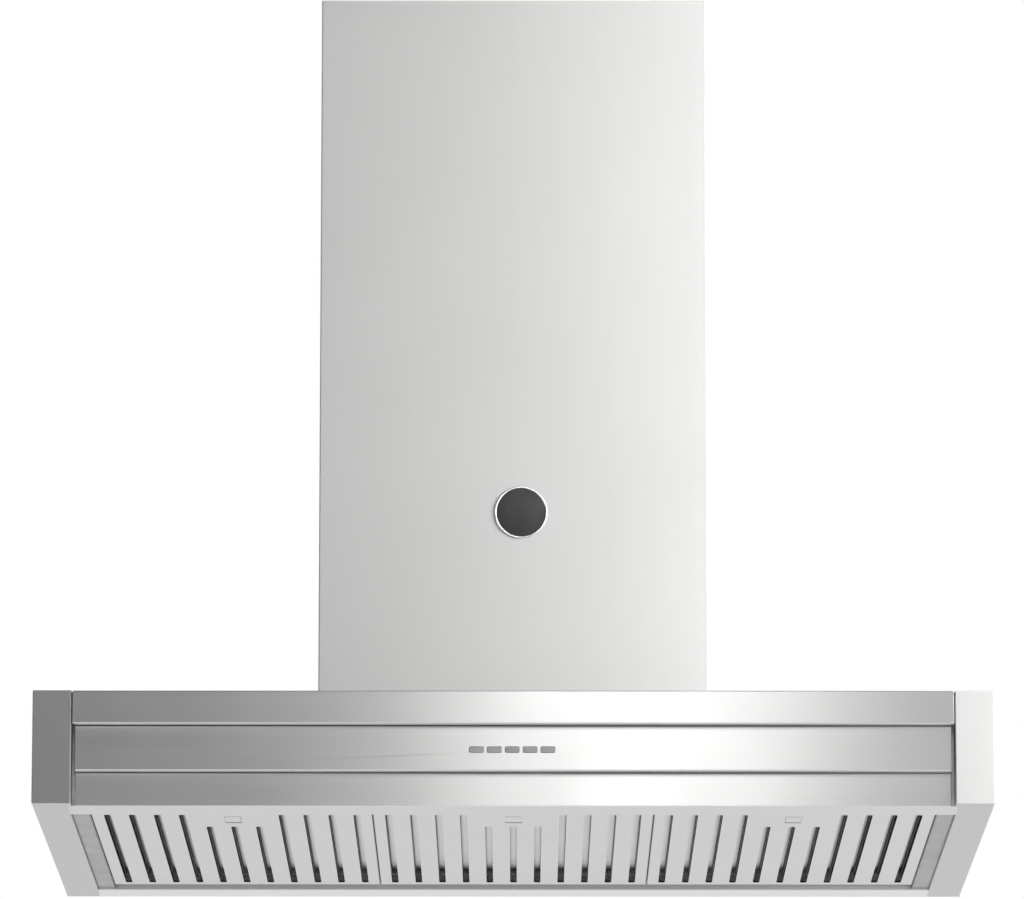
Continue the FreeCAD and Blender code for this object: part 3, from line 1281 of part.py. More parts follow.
def swept_tube(route, radius, largest_bend):
    """Straight runs joined by tangent arcs, as large as their runs and the space allow."""
    edges = []
    start = route[0]
    for before, corner, after in zip(route, route[1:], route[2:]):
        back = (before - corner).normalize()
        ahead = (after - corner).normalize()
        turn = math.pi - back.getAngle(ahead)
        shorter = min((before - corner).Length, (after - corner).Length)
        reach = min(0.45 * shorter, largest_bend * math.tan(turn / 2))
        bend = reach / math.tan(turn / 2)
        into = corner + back * reach
        out = corner + ahead * reach
        centre = corner + (back + ahead).normalize() * (bend / math.cos(turn / 2))
        middle = centre + (corner - centre).normalize() * bend
        edges.append(Part.LineSegment(start, into).toShape())
        edges.append(Part.Arc(into, middle, out).toShape())
        start = out
    edges.append(Part.LineSegment(start, route[-1]).toShape())
    path = Part.Wire(edges)
    section = Part.Wire(Part.makeCircle(radius, route[0], route[1] - route[0]))
    solid = path.makePipeShell([section], True, False)
    share = solid.Volume / (math.pi * radius ** 2 * path.Length)
    print(f"wiring loom: {path.Length:.0f} mm long, volume ratio {share:.4f}")
    return solid


# ---------------------------------------------------------------- the whole hood


def build():
    canopy_top()
    side_panels()
    rear_panel()
    control_strip()
    lower_strip()
    control_compartment()
    buttons()
    controls()
    electrics()
    filters()
    lamps()
    chimney()
    badge()
    blower_box()
    scroll()
    impeller()
    outlet()
    screw_set(motor())
    terminal()
    wiring()


def check_document():
    """Stop before anything is written if a feature failed or a sub-part has no sound shape."""
    faults = [item.Name for item in DOC.Objects if {"Invalid", "Error"} & set(item.State)]
    faults += [item.Label for item in NODES if item.Shape.isNull() or not item.Shape.isValid()]
    if faults:
        raise RuntimeError(f"failed features: {faults}")


def write_parts():
    os.makedirs("parts", exist_ok=True)
    for item in NODES:
        item.Shape.exportStep(f"parts/{item.Label}.step")
        print(f"{item.Label}: {len(item.Shape.Solids)} solid(s), {item.Shape.Volume / 1000:.2f} cm3")
    print(f"{len(NODES)} sub-parts")


build()
DOC.recompute()
check_document()
write_parts()
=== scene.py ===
# %% [markdown]
# # A wall chimney hood in brushed steel
# The CAD model is the fixed frame of this scene. Every sheet, filter and screw already sits in its
# place, in metres. This file gives each one its finish, makes the small pieces that CAD leaves plain,
# and lights the whole as a photographer would.

# %% Load the frame
import bpy
import bmesh
import math
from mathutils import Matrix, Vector


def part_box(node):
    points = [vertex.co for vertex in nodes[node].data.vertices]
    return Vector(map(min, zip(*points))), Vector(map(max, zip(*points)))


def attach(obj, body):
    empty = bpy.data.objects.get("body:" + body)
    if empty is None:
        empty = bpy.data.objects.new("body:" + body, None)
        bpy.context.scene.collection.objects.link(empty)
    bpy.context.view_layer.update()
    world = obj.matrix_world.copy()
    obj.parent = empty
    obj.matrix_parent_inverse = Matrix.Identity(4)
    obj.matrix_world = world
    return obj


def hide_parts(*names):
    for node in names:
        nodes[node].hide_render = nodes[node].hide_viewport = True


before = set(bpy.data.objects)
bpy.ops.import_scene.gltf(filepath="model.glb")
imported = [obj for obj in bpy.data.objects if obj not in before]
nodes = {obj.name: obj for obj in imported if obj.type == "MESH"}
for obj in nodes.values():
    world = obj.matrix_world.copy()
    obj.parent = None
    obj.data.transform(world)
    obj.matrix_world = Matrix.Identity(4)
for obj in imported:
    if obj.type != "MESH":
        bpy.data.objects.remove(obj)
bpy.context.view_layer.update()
print("CAD pieces:", len(nodes))

# %% [markdown]
# ## The camera
# The photographer stood far off and below the hood, looking up at it, so the picture is almost
# without perspective. A long lens from seven metres gives the same. Height and tilt were found from
# two things that only one place can show together: the underside of the filters and the front.

# %% Camera
LENS_MM, SENSOR_MM, SIGHT = 273.6, 36, 100
CAMERA_PLACE, CAMERA_TURN = (0.0037, -7.4822, -1.1383), (101.61, -0.035, 0.033)
scene = bpy.context.scene
camera_data = bpy.data.cameras.new("photo_camera")
camera_data.sensor_width = SENSOR_MM
camera_data.lens = LENS_MM
camera_data.clip_end = SIGHT
camera = bpy.data.objects.new("photo_camera", camera_data)
scene.collection.objects.link(camera)
camera.location = CAMERA_PLACE
camera.rotation_euler = [math.radians(turn) for turn in CAMERA_TURN]
scene.camera = camera
scene.view_settings.view_transform = "Standard"
print("camera lens in mm:", camera_data.lens)

# %% [markdown]
# ## Helpers for nodes
# The room, the finishes and the effects that several finishes share are all node trees, and short
# helpers keep their cells readable. One adds a node and joins its inputs, one opens a group with
# named sockets, and the others are the few nodes that come again and again.

# %% Helpers for nodes
FLOAT, COLOR, VECTOR = "NodeSocketFloat", "NodeSocketColor", "NodeSocketVector"


def add_node(tree, kind, joins=None, values=None, **settings):
    node = tree.nodes.new(kind)
    for key, value in settings.items():
        setattr(node, key, value)
    for key, value in (values or {}).items():
        node.inputs[key].default_value = value
    for key, source in (joins or {}).items():
        tree.links.new(source, node.inputs[key])
    return node


def set_or_join(tree, item, socket):
    """Joins another node's output to the socket, or puts a plain value on it."""
    if isinstance(item, bpy.types.NodeSocket):
        tree.links.new(item, socket)
    else:
        socket.default_value = item


def math_node(tree, operation, first, second=0.0):
    node = add_node(tree, "ShaderNodeMath", operation=operation)
    set_or_join(tree, first, node.inputs[0])
    set_or_join(tree, second, node.inputs[1])
    return node.outputs[0]


def largest(tree, *values):
    so_far = values[0]
    for value in values[1:]:
        so_far = math_node(tree, "MAXIMUM", so_far, value)
    return so_far


def map_range(tree, value, old=(0.0, 1.0), new=(0.0, 1.0), **settings):
    """Carries a value from its old range to a new one, and stops at the ends."""
    node = add_node(tree, "ShaderNodeMapRange", {"Value": value}, **settings)
    for name, item in zip(("From Min", "From Max", "To Min", "To Max"), (*old, *new)):
        set_or_join(tree, item, node.inputs[name])
    return node.outputs[0]


def noise(tree, place, scale, detail=2.0, roughness=0.5):
    node = add_node(tree, "ShaderNodeTexNoise", {"Vector": place}, {"Detail": detail, "Roughness": roughness})
    set_or_join(tree, scale, node.inputs["Scale"])
    return node.outputs["Fac"]


def blend_colors(tree, factor, first, second):
    node = add_node(tree, "ShaderNodeMix", data_type="RGBA")
    for index, item in ((0, factor), (6, first), (7, second)):
        set_or_join(tree, item, node.inputs[index])
    return node.outputs[2]


def scaled_color(tree, color, share):
    return add_node(tree, "ShaderNodeVectorMath", {0: color, "Scale": share}, operation="SCALE").outputs[0]


def object_place(tree):
    return add_node(tree, "ShaderNodeTexCoord").outputs["Object"]


def face_normal(tree):
    return add_node(tree, "ShaderNodeNewGeometry").outputs["Normal"]


def axes(tree, vector):
    return add_node(tree, "ShaderNodeSeparateXYZ", {0: vector}).outputs


def open_group(name, inputs, outputs):
    group = bpy.data.node_groups.new(name, "ShaderNodeTree")
    for label, kind, value in inputs:
        socket = group.interface.new_socket(label, in_out="INPUT", socket_type=kind)
        socket.default_value = value
    for label, kind in outputs:
        group.interface.new_socket(label, in_out="OUTPUT", socket_type=kind)
    return group, group.nodes.new("NodeGroupInput").outputs, group.nodes.new("NodeGroupOutput").inputs


def place_group(tree, group, values=None):
    return add_node(tree, "ShaderNodeGroup", values=values, node_tree=group)


def open_material(name):
    material = bpy.data.materials.new(name)
    material.use_nodes = True
    return material, material.node_tree, material.node_tree.nodes["Principled BSDF"]


print("helpers ready")

# %% [markdown]
# ## The studio
# Steel has hardly a colour of its own: it shows the room. The room here is pale behind the hood and
# dim behind the camera. One tall narrow lamp in front draws the bright band down the middle of the
# strips. One large lamp to the right lights the chimney from left to right, and leaves the left
# post dark. The lamps are soft because they are large.

# %% Lamps
def soft_lamp(name, place, width, height, watts, turn=0):
    data = bpy.data.lights.new(name, "AREA")
    data.shape = "RECTANGLE"
    data.size, data.size_y = width, height
    data.energy = watts
    lamp = bpy.data.objects.new(name, data)
    scene.collection.objects.link(lamp)
    lamp.location = place
    lamp.rotation_euler = (math.radians(90), 0, math.radians(turn))
    lamp.visible_camera = False


soft_lamp("band_lamp", (0.192, -4.24, 1.58), width=0.42, height=1.49, watts=14.7)
soft_lamp("side_lamp", (1.16, -0.6, 0.98), width=1.22, height=2.19, watts=50, turn=8)

# %% [markdown]
# The world is the backdrop. Light Path tells which ray asks: the camera sees plain white, and the
# metal, the lenses and matt faces see white behind the hood and the dim half of the room in front.

# %% World
FRONT_OF_ROOM, BEHIND_HOOD = 0.13, 1.0
world = bpy.data.worlds.new("studio")
scene.world = world
world.use_nodes = True
tree = world.node_tree
tree.nodes.clear()
direction = add_node(tree, "ShaderNodeTexCoord").outputs["Generated"]
behind = map_range(tree, axes(tree, direction)["Y"], (-0.5, 0.2), interpolation_type="SMOOTHSTEP")
ray = add_node(tree, "ShaderNodeLightPath").outputs
bounced = largest(tree, ray["Is Glossy Ray"], ray["Is Transmission Ray"], ray["Is Diffuse Ray"])
sees_white = largest(tree, ray["Is Camera Ray"], math_node(tree, "MULTIPLY", bounced, behind))
room, white = [
    add_node(tree, "ShaderNodeBackground", values={"Color": (1, 1, 1, 1), "Strength": strength}).outputs[0]
    for strength in (FRONT_OF_ROOM, BEHIND_HOOD)]
chosen = add_node(tree, "ShaderNodeMixShader", {"Fac": sees_white, 1: room, 2: white})
add_node(tree, "ShaderNodeOutputWorld", {"Surface": chosen.outputs[0]})
print("front of the room:", FRONT_OF_ROOM)

# %% [markdown]
# The floor is a wide pale sheet at the height of a kitchen floor under a hood. It glows a little for
# rays that come from the camera, from metal or through a lens, so it reads as white and still takes
# a shadow. Its back lets the camera through, because a hood is often looked at from below.

# %% Floor
FLOOR_Z, FLOOR_SIZE, FLOOR_GLOW = -1.65, 60, 0.55
bpy.ops.mesh.primitive_grid_add(x_subdivisions=2, y_subdivisions=2, size=FLOOR_SIZE, location=(0, 0, FLOOR_Z))
floor = bpy.context.object
floor.name = "floor"
floor_paint, tree, shader = open_material("floor_paint")
shader.inputs["Base Color"].default_value = (0.82, 0.82, 0.82, 1)
shader.inputs["Roughness"].default_value = 0.9
shader.inputs["Emission Color"].default_value = (1, 1, 1, 1)
ray = add_node(tree, "ShaderNodeLightPath").outputs
looked_at = largest(tree, ray["Is Camera Ray"], ray["Is Glossy Ray"], ray["Is Transmission Ray"])
tree.links.new(math_node(tree, "MULTIPLY", looked_at, FLOOR_GLOW), shader.inputs["Emission Strength"])
clear = add_node(tree, "ShaderNodeBsdfTransparent")
from_below = add_node(tree, "ShaderNodeNewGeometry").outputs["Backfacing"]
sides = add_node(tree, "ShaderNodeMixShader", {"Fac": from_below, 1: shader.outputs[0], 2: clear.outputs[0]})
tree.links.new(sides.outputs[0], tree.nodes["Material Output"].inputs["Surface"])
floor.data.materials.append(floor_paint)
print("floor at", FLOOR_Z)

# %% [markdown]
# ## Brushed grain
# A belt drags fine scratches along the sheet. Noise that is stretched a few hundred times in one
# direction gives them: fine lines for the scratches, and broader soft bands from the belt's
# pressure. The group is told the stretch, so one group serves grain that runs along or upwards.

# %% Brushed grain group
FINE_SHARE, BROAD_SHARE, BROAD_SCALE = 0.65, 0.35, 0.12
grain, given, taken = open_group(
    "brushed_grain",
    [("Steel Color", COLOR, (0.6, 0.6, 0.6, 1)), ("Roughness", FLOAT, 0.35),
     ("Stretch", VECTOR, (4, 500, 1100)), ("Streaks", FLOAT, 0.1)],
    [("Color", COLOR), ("Roughness", FLOAT), ("Height", FLOAT)])
pulled = add_node(grain, "ShaderNodeMapping", {"Vector": object_place(grain), "Scale": given["Stretch"]}).outputs[0]
scratches = math_node(grain, "MULTIPLY", noise(grain, pulled, 1.0, 1.0), FINE_SHARE)
bands = math_node(grain, "MULTIPLY", noise(grain, pulled, BROAD_SCALE, 1.0), BROAD_SHARE)
both = math_node(grain, "ADD", scratches, bands)
swing = math_node(grain, "MULTIPLY", math_node(grain, "SUBTRACT", both, 0.5), given["Streaks"])
rough = math_node(grain, "ADD", given["Roughness"], math_node(grain, "MULTIPLY", swing, 0.5))
shade = scaled_color(grain, given["Steel Color"], math_node(grain, "ADD", swing, 1.0))
grain.links.new(shade, taken["Color"])
grain.links.new(rough, taken["Roughness"])
grain.links.new(both, taken["Height"])
print("grain group:", len(grain.nodes), "nodes")

# %% [markdown]
# ## Handling marks, edge wear with a painted edge highlight, and dust
# Fingers leave broad soft patches that dull the shine. Edges are painted a little brighter, partly as
# wear from the deburring wheel and partly as a painted highlight, and the Bevel node finds them by
# comparing the normal with a rounded one. Dust settles where a face looks up.

# %% Handling group
handling, given, taken = open_group(
    "handling_marks", [("Patch Size", FLOAT, 7.0), ("Amount", FLOAT, 0.06)], [("Mask", FLOAT)])
patches = noise(handling, object_place(handling), given["Patch Size"], 2.0, 0.45)
strong = map_range(handling, patches, (0.25, 0.8))
handling.links.new(math_node(handling, "MULTIPLY", strong, given["Amount"]), taken["Mask"])

# %% Edge group
edges, given, taken = open_group("edge_wear_and_highlight", [("Width", FLOAT, 0.0008)], [("Mask", FLOAT), ("Normal", VECTOR)])
rounded = add_node(edges, "ShaderNodeBevel", {"Radius": given["Width"]}, samples=6).outputs[0]
together = add_node(edges, "ShaderNodeVectorMath", {0: rounded, 1: face_normal(edges)}, operation="DOT_PRODUCT")
edges.links.new(map_range(edges, together.outputs["Value"], (0.995, 0.85)), taken["Mask"])
edges.links.new(rounded, taken["Normal"])

# %% Dust group
dust, given, taken = open_group("dust", [("Speck Size", FLOAT, 260.0), ("Amount", FLOAT, 0.4)], [("Mask", FLOAT)])
place = object_place(dust)
looks_up = map_range(dust, axes(dust, face_normal(dust))["Z"], (0.6, 0.95))
specks = noise(dust, place, given["Speck Size"], 4.0, 0.7)
lying = math_node(dust, "MULTIPLY", specks, noise(dust, place, 9.0, 3.0))
on_top = math_node(dust, "MULTIPLY", lying, looks_up)
dust.links.new(math_node(dust, "MULTIPLY", on_top, given["Amount"]), taken["Mask"])
print("shared groups:", [g.name for g in bpy.data.node_groups])

# %% [markdown]
# ## Painted shade inside the canopy
# Behind the filters the hood is dark, and that darkness is painted: the inner faces get a near-black
# painted shade, and only the faces that look down are left out. The group marks the space inside the
# canopy, whose walls it takes from the CAD pieces around it, and leaves out the faces that look down.
# A second group paints a shade on the lowest faces that look down, so they come out a little duller
# than the front. A third paints a dark line of shade where two filters meet.

# %% Film group
RIM_TO_WALL, BEHIND_STRIP, SHORT_OF_STAYS, ABOVE_RIMS, BELOW_TOP = 0.036, 0.002, 0.0002, 0.0045, 0.1055
left_wall, right_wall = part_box("left_side_panel")[1][0] - RIM_TO_WALL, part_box("right_side_panel")[0][0] + RIM_TO_WALL
inner_low = (left_wall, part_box("lower_front_strip")[0][1] + BEHIND_STRIP, ABOVE_RIMS)
inner_high = (right_wall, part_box("filter_stays_left")[1][1] - SHORT_OF_STAYS, BELOW_TOP)
# Painted shade: a near-black tint on the inner faces behind the filters, where shade falls.
interior_shade, given, taken = open_group("painted_interior_shade", [("Amount", FLOAT, 0.9)], [("Mask", FLOAT)])
place = object_place(interior_shade)
spot = axes(interior_shade, place)
inside = given["Amount"]
for axis, low, high in zip("XYZ", inner_low, inner_high):
    past_low = math_node(interior_shade, "GREATER_THAN", spot[axis], low)
    before_high = math_node(interior_shade, "LESS_THAN", spot[axis], high)
    inside = math_node(interior_shade, "MULTIPLY", inside, math_node(interior_shade, "MULTIPLY", past_low, before_high))
not_down = math_node(interior_shade, "GREATER_THAN", axes(interior_shade, face_normal(interior_shade))["Z"], -0.5)
uneven_shade = map_range(interior_shade, noise(interior_shade, place, 40.0, 3.0), new=(0.8, 1.0))
interior_shade.links.new(math_node(interior_shade, "MULTIPLY", math_node(interior_shade, "MULTIPLY", inside, not_down), uneven_shade), taken["Mask"])
print("inside of the canopy:", inner_low, inner_high)

# %% Underside group
# Painted shade: the lowest faces that look down get a darker tint.
underside_shade, given, taken = open_group("painted_underside_shade", [("Height", FLOAT, 0.002)], [("Mask", FLOAT)])
lowest = math_node(underside_shade, "LESS_THAN", axes(underside_shade, object_place(underside_shade))["Z"], given["Height"])
looks_down = math_node(underside_shade, "LESS_THAN", axes(underside_shade, face_normal(underside_shade))["Z"], -0.9)
underside_shade.links.new(math_node(underside_shade, "MULTIPLY", lowest, looks_down), taken["Mask"])
print("underside group:", len(underside_shade.nodes), "nodes")

# %% Seam group
meeting = (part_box("filter_pan_left")[1][0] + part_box("filter_pan_middle")[0][0]) / 2
# Painted shade: a dark line along the place where two filters meet.
seam_shade, given, taken = open_group(
    "painted_seam_shade", [("Seam From Middle", FLOAT, abs(meeting)), ("Half Width", FLOAT, 0.0014)], [("Mask", FLOAT)])
from_middle = math_node(seam_shade, "ABSOLUTE", axes(seam_shade, object_place(seam_shade))["X"])
away = math_node(seam_shade, "ABSOLUTE", math_node(seam_shade, "SUBTRACT", from_middle, given["Seam From Middle"]))
seam_shade.links.new(map_range(seam_shade, away, (given["Half Width"], 0.0005)), taken["Mask"])
print("filters meet at", round(meeting, 4))

# %% [markdown]
# ## The steels
# All the sheets are one alloy with one belt finish, and only the direction of the grain changes.
# Across the grain the tiny scratches scatter light widely, along it hardly at all, which is what
# Anisotropic does. The strips have their grain from side to side, so a lamp becomes an upright
# band. The posts and the chimney have theirs upright, so light spreads from side to side. Their
# flanks are turned away from the front, and there the same direction lets light spread upwards,
# which keeps the flank nearest the lamp from bleaching out.

# %% Brushed steel
UPRIGHT, SIDEWAYS, RIM_SHARE = (0.01, 1.0, 1.0), (1.0, 0.0, 0.02), -0.6
EDGE_WEAR_AND_HIGHLIGHT, STEEL_DUST, UNDERSIDE_SHADE_TINT = (0.85, 0.85, 0.85, 1), (0.42, 0.41, 0.39, 1), (0.38, 0.38, 0.375, 1)
SEAM_SHADE_TINT, INTERIOR_SHADE_TINT = (0.03, 0.028, 0.025, 1), (0.02, 0.018, 0.015, 1)


def brushed_steel(name, color, roughness, spread, wide_along, stretch, streaks=0.07, dusty=0.35, relief=0.03,
                  edge=0.00045, inside_shade=0.85, shade_below=0.0, seam_dark=0.0):
    material, tree, shader = open_material(name)
    lines = place_group(tree, grain, {"Steel Color": (*color, 1), "Roughness": roughness,
                                      "Stretch": stretch, "Streaks": streaks})
    marks = place_group(tree, handling, {"Amount": 0.05}).outputs["Mask"]
    rim = place_group(tree, edges, {"Width": edge})
    fluff = place_group(tree, dust, {"Amount": dusty}).outputs["Mask"]
    # Edges get a lighter tint: partly wear, partly a painted highlight along each edge.
    layers = [(math_node(tree, "MULTIPLY", rim.outputs["Mask"], 0.5), EDGE_WEAR_AND_HIGHLIGHT), (fluff, STEEL_DUST)]
    # Both of these layers are painted shade: the lowest faces that look down, and the line where two filters meet.
    for group, strength, tint in ((underside_shade, shade_below, UNDERSIDE_SHADE_TINT), (seam_shade, seam_dark, SEAM_SHADE_TINT)):
        if strength:
            mask = place_group(tree, group).outputs["Mask"]
            layers.append((math_node(tree, "MULTIPLY", mask, strength), tint))
    # Last comes the painted shade inside the canopy, a near-black tint on its inner faces.
    layers.append((place_group(tree, interior_shade, {"Amount": inside_shade}).outputs["Mask"], INTERIOR_SHADE_TINT))
    tone = lines.outputs["Color"]
    for mask, tint in layers:
        tone = blend_colors(tree, mask, tone, tint)
    tree.links.new(tone, shader.inputs["Base Color"])
    rough = math_node(tree, "ADD", lines.outputs["Roughness"], marks)
    tree.links.new(math_node(tree, "ADD", rough, math_node(tree, "MULTIPLY", fluff, 0.6)), shader.inputs["Roughness"])
    lifted = add_node(tree, "ShaderNodeBump", {"Height": lines.outputs["Height"], "Normal": rim.outputs["Normal"]},
                      {"Strength": relief, "Distance": 0.00005})
    tree.links.new(lifted.outputs[0], shader.inputs["Normal"])
    shader.inputs["Metallic"].default_value = 1
    shader.inputs["Anisotropic"].default_value = spread
    if spread:
        along = add_node(tree, "ShaderNodeCombineXYZ", values=dict(zip("XYZ", wide_along)))
        if wide_along == SIDEWAYS:
            downward = math_node(tree, "MULTIPLY", axes(tree, face_normal(tree))["Z"], RIM_SHARE)
            tree.links.new(downward, along.inputs["Y"])
        tree.links.new(along.outputs[0], shader.inputs["Tangent"])
    return material


PALE, FINE, LONG = (0.62, 0.62, 0.615), 2600, 1.5
STRIP_GRAIN = (1.2, 300, 550)
strip_steel = brushed_steel("strip_steel", PALE, 0.277, 0.9, UPRIGHT, STRIP_GRAIN, 0.09, 1.0, relief=0.0)
low_strip_steel = brushed_steel("low_strip_steel", PALE, 0.277, 0.9, UPRIGHT, STRIP_GRAIN, 0.09,
                                relief=0.0, edge=0.0008, shade_below=0.5)
post_steel = brushed_steel("post_steel", (0.58, 0.58, 0.575), 0.64, 0.9, SIDEWAYS, (3000, 3000, LONG))
chimney_steel = brushed_steel("chimney_steel", PALE, 0.49, 0.9, SIDEWAYS, (FINE, FINE, LONG))
rim_steel = brushed_steel("rim_steel", PALE, 0.4, 0.5, (0, 1, 0.02), (LONG, FINE, FINE), inside_shade=0.2)
filter_steel = brushed_steel("filter_steel", (0.505, 0.505, 0.50), 0.34, 0.8, (0.02, 1, 0.02), (FINE, LONG, FINE),
                             edge=0.0002, inside_shade=0.95, seam_dark=0.85)
stay_steel = brushed_steel("stay_steel", (0.8, 0.8, 0.79), 0.5, 0.0, (0, 1, 0), (LONG, FINE, FINE), inside_shade=0.0)
bright_steel = brushed_steel("bright_steel", (0.7, 0.7, 0.69), 0.28, 0.0, UPRIGHT, (600, 600, 600), 0.06)
print("steels:", [m.name for m in bpy.data.materials if m.name.endswith("steel")])

# %% [markdown]
# ## Galvanised sheet
# The hidden box and brackets are zinc-coated steel. The zinc freezes in flat crystals a few
# millimetres across, each a slightly different grey, and a Voronoi texture is just such a pattern
# of cells.

# %% Spangle
CRYSTALS_PER_METRE, ZINC_DUST = 160.0, (0.36, 0.35, 0.33, 1)
spangle, given, taken = open_group(
    "zinc_spangle", [("Crystals", FLOAT, CRYSTALS_PER_METRE), ("Zinc Color", COLOR, (0.5, 0.51, 0.52, 1))],
    [("Color", COLOR), ("Roughness", FLOAT)])
cells = add_node(spangle, "ShaderNodeTexVoronoi", {"Vector": object_place(spangle), "Scale": given["Crystals"]})
tone = add_node(spangle, "ShaderNodeSeparateColor", {0: cells.outputs["Color"]}).outputs
shift = map_range(spangle, tone[0], new=(0.9, 1.06))
spangle.links.new(scaled_color(spangle, given["Zinc Color"], shift), taken["Color"])
spangle.links.new(map_range(spangle, tone[1], new=(0.34, 0.52)), taken["Roughness"])

galvanised, tree, shader = open_material("galvanised")
zinc = place_group(tree, spangle)
fluff = place_group(tree, dust, {"Amount": 0.6}).outputs["Mask"]
rim = place_group(tree, edges)
tree.links.new(blend_colors(tree, fluff, zinc.outputs["Color"], ZINC_DUST), shader.inputs["Base Color"])
tree.links.new(math_node(tree, "ADD", zinc.outputs["Roughness"], fluff), shader.inputs["Roughness"])
tree.links.new(rim.outputs["Normal"], shader.inputs["Normal"])
shader.inputs["Metallic"].default_value = 1
print("zinc crystals of about", round(1000 / CRYSTALS_PER_METRE), "mm")

# %% [markdown]
# ## Mouldings, rubber, board and sleeve
# A moulding takes the skin of its tool: a fine even stipple, and edges a little paler from
# handling. One group makes that skin, and each plastic has its own colour and size of stipple.

# %% Moulded skin
skin, given, taken = open_group(
    "moulded_skin", [("Plastic Color", COLOR, (0.3, 0.3, 0.3, 1)), ("Stipple Size", FLOAT, 1500.0),
                     ("Roughness", FLOAT, 0.5)],
    [("Color", COLOR), ("Roughness", FLOAT), ("Height", FLOAT)])
place = object_place(skin)
flow = noise(skin, place, 30.0, 4.0)
uneven = math_node(skin, "MULTIPLY", math_node(skin, "SUBTRACT", flow, 0.5), 0.25)
shade = scaled_color(skin, given["Plastic Color"], map_range(skin, flow, new=(0.88, 1.12)))
skin.links.new(shade, taken["Color"])
skin.links.new(math_node(skin, "ADD", given["Roughness"], uneven), taken["Roughness"])
skin.links.new(noise(skin, place, given["Stipple Size"]), taken["Height"])


def moulding(name, color, roughness, stipple_size=1500.0, metallic=0.0, relief=0.25, wear=0.35):
    material, tree, shader = open_material(name)
    surface = place_group(tree, skin, {"Plastic Color": (*color, 1), "Roughness": roughness,
                                       "Stipple Size": stipple_size})
    rim = place_group(tree, edges, {"Width": 0.0005})
    paler = tuple(min(1.0, c * 1.35 + 0.02) for c in color)
    worn = math_node(tree, "MULTIPLY", rim.outputs["Mask"], wear)
    tree.links.new(blend_colors(tree, worn, surface.outputs["Color"], (*paler, 1)), shader.inputs["Base Color"])
    tree.links.new(surface.outputs["Roughness"], shader.inputs["Roughness"])
    bump = add_node(tree, "ShaderNodeBump", {"Height": surface.outputs["Height"], "Normal": rim.outputs["Normal"]},
                    {"Strength": relief, "Distance": 0.00008})
    tree.links.new(bump.outputs[0], shader.inputs["Normal"])
    shader.inputs["Metallic"].default_value = metallic
    return material


button_plastic = moulding("button_plastic", (0.46, 0.46, 0.46), 0.38)
black_plastic = moulding("black_plastic", (0.025, 0.025, 0.027), 0.5)
grey_plastic = moulding("grey_plastic", (0.30, 0.31, 0.32), 0.5)
circuit_board = moulding("circuit_board", (0.03, 0.14, 0.06), 0.35, 900.0)
rubber = moulding("rubber", (0.02, 0.02, 0.02), 0.75)
motor_alloy = moulding("motor_alloy", (0.55, 0.56, 0.57), 0.42, 700.0, 1.0)
wire_sleeve = moulding("wire_sleeve", (0.035, 0.035, 0.035), 0.62, 1200.0)
# The lamp channel is painted dark: a painted shade that stands in for the shadow line between lamp and rim.
lamp_aluminium = moulding("lamp_aluminium", (0.14, 0.14, 0.14), 0.45, 900.0, 1.0)
frosted_lens = moulding("frosted_lens", (0.265, 0.265, 0.265), 0.35, 2200.0)
badge_black = moulding("badge_black", (0.012, 0.012, 0.013), 0.3, 2600.0, relief=0.06)
badge_chrome = moulding("badge_chrome", (0.75, 0.75, 0.75), 0.14, 1800.0, 1.0, relief=0.03)
print("finishes so far:", len(bpy.data.materials))

# %% [markdown]
# ## Finish for each CAD piece
# Names of CAD pieces start with what they are, so a short list of beginnings is enough. The loop
# prints any piece that no line names.

# %% Finishes on the CAD pieces
finishes = [
    ("canopy_top", strip_steel), ("control_strip", strip_steel), ("lower_front_strip", low_strip_steel),
    ("left_side_panel", post_steel), ("right_side_panel", post_steel), ("rear_panel", rim_steel),
    ("lower_chimney", chimney_steel), ("upper_chimney", chimney_steel), ("filter_hinge", bright_steel),
    ("filter_stays", stay_steel), ("filter_", filter_steel), ("front_bulkhead", galvanised),
    ("inner_front", galvanised), ("blower_box", galvanised), ("motor_bracket", galvanised),
    ("lamp_channel", lamp_aluminium), ("lamp_lens", frosted_lens), ("lamp_boards", circuit_board),
    ("lamp_driver", black_plastic), ("button_carrier", black_plastic), ("button_", button_plastic),
    ("control_board", circuit_board), ("chimney_stops", black_plastic), ("scroll_", black_plastic),
    ("outlet_collar", black_plastic), ("damper_flap", black_plastic), ("damper_pin", bright_steel),
    ("cable_gland", black_plastic), ("electronics_box", grey_plastic), ("terminal_box", grey_plastic),
    ("motor_capacitor", grey_plastic), ("impeller_shaft", bright_steel), ("impeller", grey_plastic),
    ("motor_grommets", rubber), ("motor", motor_alloy), ("badge_disc", badge_black),
    ("badge_ring", badge_chrome), ("wiring_loom", wire_sleeve), ("pan_head_screws", bright_steel)]
bare = []
for name, item in nodes.items():
    finish = next((material for start, material in finishes if name.startswith(start)), None)
    if finish is None:
        bare.append(name)
        continue
    for slot in item.material_slots:
        slot.material = finish
print("pieces without a finish:", bare)

# %% [markdown]
# ## The badge
# A badge like this is a thin plated ring pressed onto a black disc, which is filled with glossy
# enamel, so the disc bulges a little. Both are turned shapes: an outline spun about an axis. The
# disc stays blank. The ring's outline has a rounded rim, because that is what catches the light.

